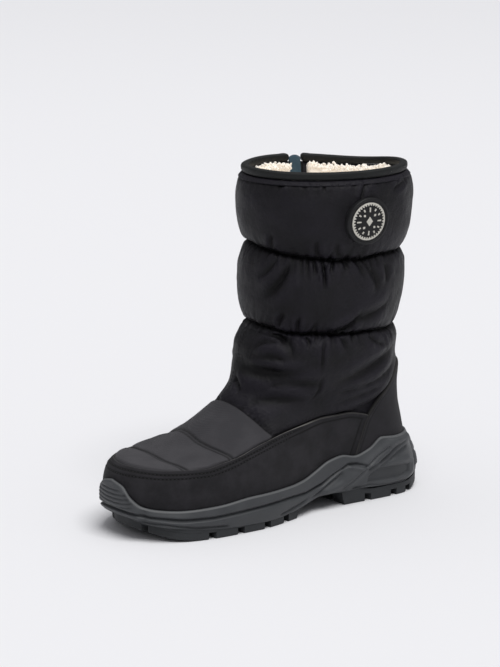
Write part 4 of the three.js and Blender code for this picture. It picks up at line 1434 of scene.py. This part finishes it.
# The strip is painted paler through the nylon's relief mark, as a painted highlight on the flat stitched
# edge.
even_highlight = binding_edge.data.attributes.new("relief", "FLOAT", "POINT")
even_highlight.data.foreach_set("value", np.full(len(binding_edge.data.vertices), skirt_highlight, np.float32))
rides(binding_edge, "nylon")

# %% [markdown]
# ## The badge
# The real patch is a moulded disc with pale print. The print here is a plain dial of its own: a toothed
# ring, short ticks and a small diamond. The disc bends with the puff, so each of its points is moved over
# the puff, again and again, by what it misses its place in the side view.

# %% The badge's disc
badge_station = 94.5
badge_height = boot_height - 37
first_guess = 1.4


def on_outer_side(x, z, out):
    """Points over the outer side of the quilting at a station and a level, and a distance out."""
    x, z, out = np.broadcast_arrays(np.asarray(x, float), z, out)
    angle, height = np.full(x.shape, first_guess), z.astype(float).copy()
    for _ in range(14):
        at = skin(angle, height, swell(angle, height) + out)
        step = skin(angle + 0.01, height, swell(angle + 0.01, height) + out)
        angle = angle + 0.01 * (x - at[..., 0]) / (step[..., 0] - at[..., 0])
        height = height + (z - at[..., 2])
    return skin(angle, height, swell(angle, height) + out)


disc_profile = [(0, -1.2), (17.2, -1.2), (17.8, -0.9), (18, 0.6), (18, 2.4), (17.8, 3), (17.3, 3.3),
                (16.6, 3.3), (16.1, 3.0), (15.8, 2.5), (15.2, 2.35), (8, 2.35), (0, 2.35)]


def badge_lay(s, t):
    profile = np.array(disc_profile)
    row = t * (len(profile) - 1)
    radius = np.interp(row, np.arange(len(profile)), profile[:, 0])
    out = np.interp(row, np.arange(len(profile)), profile[:, 1])
    turn = 2 * np.pi * s
    return on_outer_side(badge_station + radius * np.cos(turn), badge_height + radius * np.sin(turn), out)


badge_patch = fine_piece("badge_patch", 120, 3 * (len(disc_profile) - 1), badge_lay)
rides(badge_patch, "badge", "badge")

# %% The badge's print
print_low, print_high = 2.1, 2.75


def printed(bm, corners):
    """Raises one flat shape of the print, given by its corners in the plane of the badge."""
    face = bm.faces.new([bm.verts.new((a, b, 0)) for a, b in corners])
    raised = bmesh.ops.extrude_face_region(bm, geom=[face])["geom"]
    for item in raised:
        if isinstance(item, bmesh.types.BMVert):
            item.co.z = 1


def arc(radius, start, end, count):
    turns = np.radians(np.linspace(start, end, count))
    return [(radius * math.cos(turn), radius * math.sin(turn)) for turn in turns]


def printed_ring(bm, inner, outer, teeth):
    """A closed ring whose inner side has teeth, as on a dial."""
    loops = []
    for k in range(4 * teeth):
        turn = 2 * math.pi * k / (4 * teeth)
        reach = inner - 1.3 if k % 4 in (1, 2) else inner
        corners = [(reach, 0), (outer, 0), (outer, 1), (reach, 1)]
        loops.append([bm.verts.new((r * math.cos(turn), r * math.sin(turn), z)) for r, z in corners])
    for here, there in zip(loops, loops[1:] + loops[:1]):
        for k in range(4):
            bm.faces.new([here[k], there[k], there[(k + 1) % 4], here[(k + 1) % 4]])


bm = bmesh.new()
printed_ring(bm, 13.3, 14.3, 36)
for k in range(12):
    length = 3.4 if k % 3 == 0 else 1.9
    printed(bm, arc(10.6, 30 * k - 3, 30 * k + 3, 2) + arc(10.6 - length, 30 * k + 3.5, 30 * k - 3.5, 2))
for k in range(4):
    turn = 90 * k + 45
    printed(bm, [(r * math.cos(math.radians(turn + off)), r * math.sin(math.radians(turn + off)))
                 for r, off in [(7.6, 0), (6.5, 9), (5.2, 0), (6.5, -9)]])
diamond = 3.6
printed(bm, [(diamond * 0.75, 0), (0, diamond), (-diamond * 0.75, 0), (0, -diamond)])
bmesh.ops.recalc_face_normals(bm, faces=bm.faces)
flat = np.array([vert.co for vert in bm.verts])
print_out = mix(print_low, print_high, flat[:, 2])
lifted = on_outer_side(badge_station + flat[:, 0], badge_height + flat[:, 1], print_out)
for vert, place in zip(bm.verts, world(lifted)):
    vert.co = place
badge_print = piece_of(bm, "badge_print")
rides(badge_print, "badge")

# %% [markdown]
# ## The zip
# The zip is on the inner side and closed nearly to the collar. What the photograph shows of it is the end
# of its tape, folded over above the collar. The teeth are moulded one by one on the tape.

# %% The tape
tape_width = 10.4
tape_top = boot_height - 1.2
tape_low, tape_high = -2.6, -1.2
tape_arch = 2.2
tape_rows = 150


def tape_lay(s, t):
    row, half = row_of(t, tape_rows), tape_rows // 2
    level = np.where(row < half, row, tape_rows - 1 - row) / (half - 1)
    level = np.where(row == tape_rows - 1, 0, level)
    arch = tape_arch * (1 - np.abs(2 * s - 1) ** 2.2)
    z = mix(zip_bottom + 0.3, tape_top - tape_arch + arch, level)
    over = clamp((z - collar_height) / 6)
    height = np.minimum(z, collar_height)
    wide = tape_width * (1 + 0.12 * over)
    angle = zip_tape_angle(height, (s - 0.5) * wide)
    inside = (row >= half) & (row < tape_rows - 1)
    lobes = 0.5 * over * np.abs(np.sin(2 * np.pi * s))
    edge = smooth(np.minimum(s, 1 - s) / 0.03) * smooth((1 - level) / 0.03)
    middle = (tape_low + tape_high) / 2
    out = np.where(inside, mix(middle, tape_low - 0.3 - lobes, edge), mix(middle, tape_high, edge))
    points = skin(angle, height, out)
    points[..., 2] += z - height
    return points


tape_levels = np.linspace(zip_bottom - 2, collar_height, 50)
tape_edges = [zip_angle(tape_levels, side * tape_width) for side in (-1, 1)]


def zip_tape_angle(height, off):
    back, front = [np.interp(height, tape_levels, edge) for edge in tape_edges]
    return mix(back, front, off / (2 * tape_width) + 0.5)


def tape_cloth(s, t):
    return s * tape_width, t * 300


tape = fine_piece("zip_tape_cloth", 40, tape_rows - 1, tape_lay, cloth=tape_cloth)
rides(tape, "zip_tape", "zip_tape")

# %% The teeth
tooth_pitch = 2.3
tooth_size = (3.2, 1.5, 1.2)
slider_drop, slider_length = 26, 11
teeth_top = boot_height - slider_drop - slider_length / 2 - 0.6
teeth = bmesh.new()
tooth_heights = np.arange(zip_bottom + 2.5, teeth_top, tooth_pitch / 2)
for count, height in enumerate(tooth_heights):
    side = 1 if count % 2 else -1
    angle = zip_tape_angle(height, side * 1.2)
    place = skin(angle, height, -0.75)
    out = normal(angle, np.array(height))
    up = base(angle, height + 1) - base(angle, height - 1)
    rows = [turned(unit(np.cross(up, out))), turned(out), turned(unit(up))]
    frame_matrix = Matrix([[row[k] for row in rows] for k in range(3)]).to_4x4()
    made = bmesh.ops.create_cube(teeth, size=1)["verts"]
    bmesh.ops.scale(teeth, vec=[size * mm for size in tooth_size], verts=made)
    edges = list({edge for vert in made for edge in vert.link_edges})
    made = bmesh.ops.bevel(teeth, geom=edges, offset=0.3 * mm, segments=2, profile=0.5, affect="EDGES",
                           material=-1)
    bmesh.ops.transform(teeth, matrix=Matrix.Translation(world(place)) @ frame_matrix, verts=made["verts"])
bmesh.ops.recalc_face_normals(teeth, faces=teeth.faces)
zip_teeth = piece_of(teeth, "zip_teeth")
print("teeth", len(tooth_heights), "triangles", triangles(zip_teeth))
rides(zip_teeth, "zip_chain", "zip_chain")

# %% [markdown]
# ## Stitches
# Thread on this boot is nearly black, so a stitch shows as a small dark dash in its dent. Each is a tiny
# ball, drawn out along the seam, and all of them are one mesh. A texture could draw them too, but a real
# bump catches the light at the silhouette.

# %% Rows of stitches
thread_radius = 0.42
stitch_length = 2.0
stitch_gap = 0.9
front_seam_angle = np.radians(-12)
stitch_matrices = []


def stitch_row(places, out_directions):
    """Lays stitches along a row of points in millimetres, with their outward directions."""
    runs = np.linalg.norm(np.diff(places, axis=0), axis=1)
    run = np.concatenate([[0], np.cumsum(runs)])
    for start in np.arange(0, run[-1] - stitch_length, stitch_length + stitch_gap):
        ends = [np.array([np.interp(at, run, places[:, k]) for k in range(3)])
                for at in (start, start + stitch_length)]
        out = np.array([np.interp(start, run, out_directions[:, k]) for k in range(3)])
        along, out = turned(unit(ends[1] - ends[0])), turned(unit(out))
        side = np.cross(out, along)
        basis = Matrix([[along[k], side[k], out[k]] for k in range(3)]).to_4x4()
        size = Matrix.Diagonal((stitch_length / 2 * mm, thread_radius * mm, thread_radius * 0.8 * mm, 1))
        place = Matrix.Translation(Vector(world((ends[0] + ends[1]) / 2)))
        stitch_matrices.append(place @ basis @ size)


def seam_along(angles, heights, face):
    """A row of stitches on a panel's face."""
    out = puffs(angles, heights) + face(angles, heights)
    stitch_row(skin(angles, heights, out), normal(angles, heights))


for line in stitch_lines:
    for row in vamp_stitch_rows:
        lines = np.radians(np.linspace(-75, 75, 200))
        heights = first_height(lines, lambda x, z: x < line(degrees(lines)) + row)
        x, z = side_view(lines, heights)
        kept = z > mudguard_top(x) + 0.5
        seam_along(lines[kept], heights[kept], vamp_face)
heights = np.linspace(135, 100, 60)
lines = front_seam_angle + 0 * heights
stitch_row(skin(lines, heights, nylon_out(lines, heights)), normal(lines, heights))
for below in guard_stitch_rows:
    lines = np.radians(np.linspace(-85, 85, 400))
    heights = height_on(lines, lambda x: mudguard_top(x) - below)
    kept = base(lines, heights)[:, 0] > 135
    seam_along(lines[kept], heights[kept], guard_face)
stitch_piece = piece_from(many_balls("stitches", stitch_matrices), "stitches")
print("stitches:", triangles(stitch_piece), "triangles")
rides(stitch_piece, "binding")

# %% [markdown]
# ## Shader maths as plain sums
# A material is a graph of nodes, and sums are easier to read than graphs. One small class holds a socket,
# and its operators add Math nodes, so that a mask can be written as 1 - mask.

# %% A socket with operators
class Wire:
    def __init__(self, shader, socket):
        self.shader, self.socket = shader, socket

    def sum_with(self, operation, first, second):
        return self.shader.node("ShaderNodeMath", {"operation": operation}, {0: first, 1: second})[0]

    def __add__(self, other):
        return self.sum_with("ADD", self, other)

    def __radd__(self, other):
        return self.sum_with("ADD", other, self)

    def __sub__(self, other):
        return self.sum_with("SUBTRACT", self, other)

    def __rsub__(self, other):
        return self.sum_with("SUBTRACT", other, self)

    def __mul__(self, other):
        return self.sum_with("MULTIPLY", self, other)

    def __rmul__(self, other):
        return self.sum_with("MULTIPLY", other, self)


class Outputs:
    def __init__(self, shader, node):
        self.shader, self.node = shader, node

    def __getitem__(self, key):
        return Wire(self.shader, self.node.outputs[key])


class Shader:
    """One material: its nodes are added by node(), and its sockets take numbers, colours or wires."""

    def __init__(self, name, **constants):
        self.material = bpy.data.materials.new(name)
        self.material.use_nodes = True
        self.tree = self.material.node_tree
        self.surface = next(node for node in self.tree.nodes if node.type == "BSDF_PRINCIPLED")
        for socket, value in constants.items():
            self.surface.inputs[socket.replace("_", " ")].default_value = value
        place = self.node("ShaderNodeTexCoord", {}, {})
        self.object, self.uv = place["Object"], place["UV"]

    def node(self, kind, settings, sockets):
        made = self.tree.nodes.new(kind)
        for name, value in settings.items():
            setattr(made, name, value)
        for key, value in sockets.items():
            self.plug(value, made.inputs[key])
        return Outputs(self, made)

    def plug(self, value, socket):
        if isinstance(value, Wire):
            self.tree.links.new(value.socket, socket)
        else:
            socket.default_value = value

    def noise(self, scale, detail=2, roughness=0.5, at=None):
        return self.node("ShaderNodeTexNoise", {}, {"Vector": at or self.object, "Scale": scale,
                                                    "Detail": detail, "Roughness": roughness})["Fac"]

    def steps(self, value, low, high):
        """0 below low and 1 above high, smooth between."""
        return self.node("ShaderNodeMapRange", {"interpolation_type": "SMOOTHSTEP"},
                         {"Value": value, "From Min": low, "From Max": high})[0]

    def blend(self, share, first, second):
        """A colour between two."""
        made = self.tree.nodes.new("ShaderNodeMix")
        made.data_type = "RGBA"
        self.plug(share, made.inputs[0])
        self.plug(first, made.inputs[6])
        self.plug(second, made.inputs[7])
        return Wire(self, made.outputs[2])

    def attribute(self, name):
        return self.node("ShaderNodeAttribute", {"attribute_name": name}, {})["Fac"]

    def split(self, vector):
        parts = self.node("ShaderNodeSeparateXYZ", {}, {0: vector})
        return parts[0], parts[1], parts[2]

    def wave(self, value, pitch):
        """A sine of a length in metres, from 0 to 1."""
        turned_value = value * (2 * math.pi / pitch)
        return self.node("ShaderNodeMath", {"operation": "SINE"}, {0: turned_value})[0] * 0.5 + 0.5

    def bumped(self, height, distance, strength=1.0):
        """Turns a height from 0 to 1 into a bump of a distance in millimetres."""
        made = self.node("ShaderNodeBump", {}, {"Height": height, "Distance": distance * mm,
                                                "Strength": strength})
        self.plug(made["Normal"], self.surface.inputs["Normal"])

    def paint(self, **sockets):
        for name, value in sockets.items():
            self.plug(value, self.surface.inputs[name.replace("_", " ")])


def grey(level, tint=(1, 1, 1)):
    return (level * tint[0], level * tint[1], level * tint[2], 1)


def wear(piece, shader):
    """Gives a piece one material in all its slots."""
    piece.data.materials.clear()
    piece.data.materials.append(shader.material)


# %% [markdown]
# ## Nylon
# The shell is a dense nylon with a soft shine. Its weave is too fine to see, yet it breaks up the gloss.
# Small random creases, as high as a hair, go into the bump, because the mesh holds only those wider than a
# millimetre. The colour paints light and shade as well: cloth that stands out of a crease is painted paler,
# as a painted highlight, and its troughs darker, as painted shade. The seams are painted dark, partly for
# the thread and partly as painted shade, and so is a thin strip beside the panels, as their painted shadow.

# %% The nylon
nylon = Shader("quilted_nylon", Roughness=0.5, Specular_IOR_Level=0.23)
along, up, _ = nylon.split(nylon.uv)
weave = nylon.wave(along, 0.5 * mm) * nylon.wave(up, 0.5 * mm)
patches = nylon.noise(38, 3, 0.55)
creased = nylon.noise(150, 4, 0.6)
fine_creases = nylon.noise(420, 3, 0.6)
# Painted light and shade: the relief mark paints ridges paler as a painted highlight and troughs darker as
# painted shade. The seam mark paints dark thread and painted shade at the seams, and a painted shadow
# beside the panels. Only the patches are the cloth's own random tone.
painted_ridge_light = nylon.steps(nylon.attribute("relief"), 0.2, 0.75)
tone_and_painted_light = (0.35 * nylon.steps(patches, 0.3, 0.75) + 0.75 * painted_ridge_light) * (1 - 0.9 * nylon.attribute("seam"))
nylon.paint(
    Base_Color=nylon.blend(tone_and_painted_light, (0.0008, 0.0007, 0.001, 1), (0.0088, 0.0074, 0.0122, 1)),
    Roughness=0.42 + 0.14 * patches + 0.05 * weave,
)
nylon.bumped(0.62 * creased + 0.3 * fine_creases + 0.08 * weave, 1.5)
wear(shaft_piece, nylon)
wear(binding_edge, nylon)

# %% Softshell of the vamp
softshell = Shader("softshell", Roughness=0.75, Specular_IOR_Level=0.2, Sheen_Weight=0.05,
                   Sheen_Roughness=0.5)
along, up, _ = softshell.split(softshell.uv)
threads = softshell.wave(along, 0.7 * mm) * softshell.wave(up, 0.7 * mm)
cloud = softshell.noise(60, 3)
# Painted light: the part towards the toe faces up and is painted paler. The clouds are the cloth's own
# random tone. The seam mark paints dark thread and painted shade in the channels.
painted_toe_light = softshell.steps(0 - softshell.split(softshell.object)[1], 0.045, 0.125)
tone_and_toe_light = 0.4 * softshell.steps(cloud, 0.3, 0.7) + 0.6 * painted_toe_light
face = softshell.blend(tone_and_toe_light, (0.033, 0.032, 0.036, 1), (0.062, 0.06, 0.065, 1))
softshell.paint(
    Base_Color=softshell.blend(softshell.attribute("seam"), face, grey(0.003)),
    Roughness=0.68 + 0.12 * cloud,
)
softshell.bumped(0.6 * threads + 0.4 * softshell.noise(900, 2), 0.12)
wear(vamp_panel, softshell)


# %% Nubuck of the mudguard and the heel
def nubuck(name, dark, light, raw_edge_and_highlight):
    """Buffed leather: a fine nap in cloudy strokes, a pale raw edge brightened by a painted highlight, and
    seams painted dark for the thread and the shade in their dents.
    """
    hide = Shader(name, Roughness=0.8, Specular_IOR_Level=0.16, Sheen_Weight=0.03, Sheen_Roughness=0.6)
    cloud = hide.steps(hide.noise(55, 5, 0.65), 0.34, 0.68)
    nap = hide.noise(1500, 2, 0.7)
    edge = hide.attribute("edge")
    face = hide.blend(hide.attribute("seam"), hide.blend(cloud * 0.7 + nap * 0.3, dark, light), grey(0.002))
    hide.paint(
        Base_Color=hide.blend(edge, face, raw_edge_and_highlight),
        Roughness=0.72 + 0.16 * cloud,
    )
    hide.bumped(0.55 * nap + 0.45 * hide.noise(260, 3), 0.16)
    return hide


# The third colour of each is the pale raw edge, brightened as a painted highlight.
wear(mudguard_panel, nubuck("nubuck_guard", grey(0.009, (1, 0.95, 1.1)), grey(0.026, (1, 0.95, 1.08)),
                            grey(0.16, (1, 0.97, 0.9))))
wear(heel_panel, nubuck("nubuck_heel", grey(0.014, (1, 0.95, 1.08)), grey(0.025, (1, 0.95, 1.08)),
                        grey(0.032, (1, 0.97, 0.95))))


# %% Rubber of the cup and the tread
def rubber(name, dark, light, rough):
    """Moulded rubber: a fine spark texture, and slight clouds where it was handled. On the cup, raised
    relief is painted paler and grooves darker, as painted light and shade, and the lip's crest gets a
    painted highlight.
    """
    mould = Shader(name, Roughness=rough, Specular_IOR_Level=0.3)
    cloud = mould.steps(mould.noise(45, 4, 0.6), 0.3, 0.7)
    # On the cup, raised relief is painted paler and grooves darker: painted light and painted shade.
    raised = mould.steps(mould.attribute("relief"), 0.2, 0.7) if name == "cup_rubber" else 0.6
    face = mould.blend(cloud * 0.35 + 0.65 * raised, dark, light)
    # The edge mark paints a highlight along the cup's lip.
    mould.paint(Base_Color=mould.blend(mould.attribute("edge"), face, grey(0.11, (0.97, 1, 1.02))),
                Roughness=rough - 0.08 + 0.16 * cloud)
    mould.bumped(0.7 * mould.noise(1800, 2) + 0.3 * mould.noise(240, 2), 0.1)
    return mould


wear(cup_sole, rubber("cup_rubber", (0.032, 0.034, 0.037, 1), (0.06, 0.063, 0.067, 1), 0.5))
wear(tread_lugs, rubber("tread_rubber", (0.024, 0.026, 0.028, 1), (0.033, 0.035, 0.038, 1), 0.62))

# %% Fleece and felt
# Painted light: the pile glows a little through its emission, to brighten the shaded curls of the fleece
# and the insole.
pile = Shader("fleece", Roughness=0.95, Specular_IOR_Level=0.1, Sheen_Weight=0.6, Sheen_Roughness=0.5,
              Emission_Strength=0.2)
pile_cloud = pile.noise(300, 4, 0.7)
pile.paint(
    Base_Color=pile.blend(pile.steps(pile_cloud, 0.25, 0.7), (0.93, 0.85, 0.74, 1), (0.985, 0.95, 0.89, 1)),
    Emission_Color=pile.blend(pile_cloud, (0.85, 0.76, 0.66, 1), (1, 0.93, 0.85, 1)),
)
pile.bumped(pile.noise(900, 4, 0.7), 0.4)
wear(fleece, pile)
wear(insole_felt, pile)

# %% Binding, badge and thread
satin = Shader("binding_satin", Roughness=0.55, Specular_IOR_Level=0.25)
along, up, _ = satin.split(satin.uv)
ribs = satin.wave(along, 0.55 * mm)
satin.paint(
    Base_Color=satin.blend(satin.noise(90, 3), (0.0085, 0.0095, 0.0095, 1), (0.0135, 0.0145, 0.0145, 1)),
    Roughness=0.48 + 0.14 * satin.noise(200, 2),
)
satin.bumped(0.5 * ribs + 0.5 * satin.noise(500, 3), 0.14)
wear(binding_tape, satin)

moulding = Shader("badge_black", Roughness=0.5, Specular_IOR_Level=0.25)
moulding.paint(
    Base_Color=moulding.blend(
        moulding.noise(260, 2), (0.0085, 0.0085, 0.0095, 1), (0.0125, 0.0125, 0.0135, 1)),
    Roughness=0.45 + 0.15 * moulding.noise(500, 2),
)
moulding.bumped(moulding.noise(1200, 2), 0.08)
wear(badge_patch, moulding)

ink = Shader("badge_print", Roughness=0.6, Specular_IOR_Level=0.3)
ink.paint(Base_Color=ink.blend(ink.noise(700, 2), (0.5, 0.48, 0.42, 1), (0.68, 0.66, 0.6, 1)))
ink.bumped(ink.noise(1500, 2), 0.08)
wear(badge_print, ink)

thread = Shader("black_thread", Roughness=0.6, Specular_IOR_Level=0.35)
thread.paint(Base_Color=thread.blend(
    thread.noise(1200, 2), (0.004, 0.004, 0.0045, 1), (0.009, 0.009, 0.01, 1)))
thread.bumped(thread.noise(3000, 2), 0.05)
wear(stitch_piece, thread)

# %% Zip
woven = Shader("zip_weave", Roughness=0.8, Specular_IOR_Level=0.3, Sheen_Weight=0.2)
along, up, _ = woven.split(woven.uv)
rib = woven.wave(along, 0.9 * mm)
pick = woven.wave(up, 0.7 * mm)
woven.paint(Base_Color=woven.blend(rib * 0.6 + pick * 0.4, (0.022, 0.052, 0.078, 1), (0.045, 0.1, 0.14, 1)))
woven.bumped(0.7 * rib + 0.3 * pick, 0.3)
wear(tape, woven)

enamel = Shader("zip_enamel", Roughness=0.35, Metallic=0.6)
enamel.paint(
    Base_Color=enamel.blend(enamel.noise(400, 3), (0.02, 0.02, 0.022, 1), (0.035, 0.035, 0.038, 1)),
    Roughness=0.28 + 0.2 * enamel.noise(300, 3),
)
enamel.bumped(enamel.noise(900, 2), 0.04)
for name in ("zip_slider", "zip_pull"):
    for slot in nodes[name].material_slots:
        slot.material = enamel.material
plastic = Shader("zip_plastic", Roughness=0.4)
plastic.paint(Base_Color=plastic.blend(
    plastic.noise(500, 2), (0.012, 0.012, 0.013, 1), (0.02, 0.02, 0.021, 1)))
plastic.bumped(plastic.noise(1500, 2), 0.04)
wear(zip_teeth, plastic)

# %% [markdown]
# ## Camera, floor and light
# The camera stands where the photographer's did. The floor is plain and pale, and runs far enough back to
# be the backdrop too. One very wide sun shines from above on the outer side, so its shadow is as soft as in
# the photograph. The sky fills the rest, and it is brighter overhead than at its horizon.

# %% Camera
camera_place = (1188.1, 1354.5, 515.4)
camera_aim = (141.34, -20.74, 132.95)
camera_lens = 124.14


def look(item, place, aim):
    item.location = place
    item.rotation_euler = (Vector(aim) - Vector(place)).to_track_quat("-Z", "Y").to_euler()


camera_data = bpy.data.cameras.new("camera")
camera_data.lens, camera_data.sensor_width = camera_lens, 36
camera_data.clip_start, camera_data.clip_end = 0.05, 60
camera = piece_from(camera_data, "camera")
look(camera, world(np.array(camera_place)), world(np.array(camera_aim)))
bpy.context.scene.camera = camera

# %% Floor
floor_reach = 16
bm = bmesh.new()
bmesh.ops.create_grid(bm, x_segments=32, y_segments=32, size=floor_reach)
floor_piece = piece_of(bm, "floor")
paper = Shader("pale_floor", Roughness=0.9, Specular_IOR_Level=0.1)
east, north, _ = paper.split(paper.object)
# Painted shade: the floor gets a little darker far from the camera, where less light reaches the backdrop.
far_shade = paper.steps(north * 0.7 - east * 0.7, 0.6, 6)
cloud = 0.04 * paper.noise(0.8, 2)
paper.paint(Base_Color=paper.blend(far_shade + cloud, (0.875, 0.875, 0.89, 1), (0.8, 0.8, 0.815, 1)))
wear(floor_piece, paper)


# %% Light
key_data = bpy.data.lights.new("key", "SUN")
key_data.energy, key_data.angle = 2.2, math.radians(38)
key_from = (0.75, -0.1, 1.8)
key = piece_from(key_data, "key")
look(key, key_from, (0, 0, 0))
sky = bpy.data.worlds.new("studio")
sky.use_nodes = True
tree = sky.node_tree
place = tree.nodes.new("ShaderNodeTexCoord")
parts = tree.nodes.new("ShaderNodeSeparateXYZ")
ramp = tree.nodes.new("ShaderNodeValToRGB")
horizon, overhead = ramp.color_ramp.elements
horizon.position, horizon.color = 0.0, (0.1, 0.1, 0.105, 1)
overhead.position, overhead.color = 1.0, (0.5, 0.5, 0.52, 1)
tree.links.new(place.outputs["Generated"], parts.inputs[0])
tree.links.new(parts.outputs["Z"], ramp.inputs["Fac"])
tree.links.new(ramp.outputs["Color"], tree.nodes["Background"].inputs[0])
tree.nodes["Background"].inputs[1].default_value = 1.0
bpy.context.scene.world = sky
bpy.context.scene.view_settings.view_transform = "Standard"
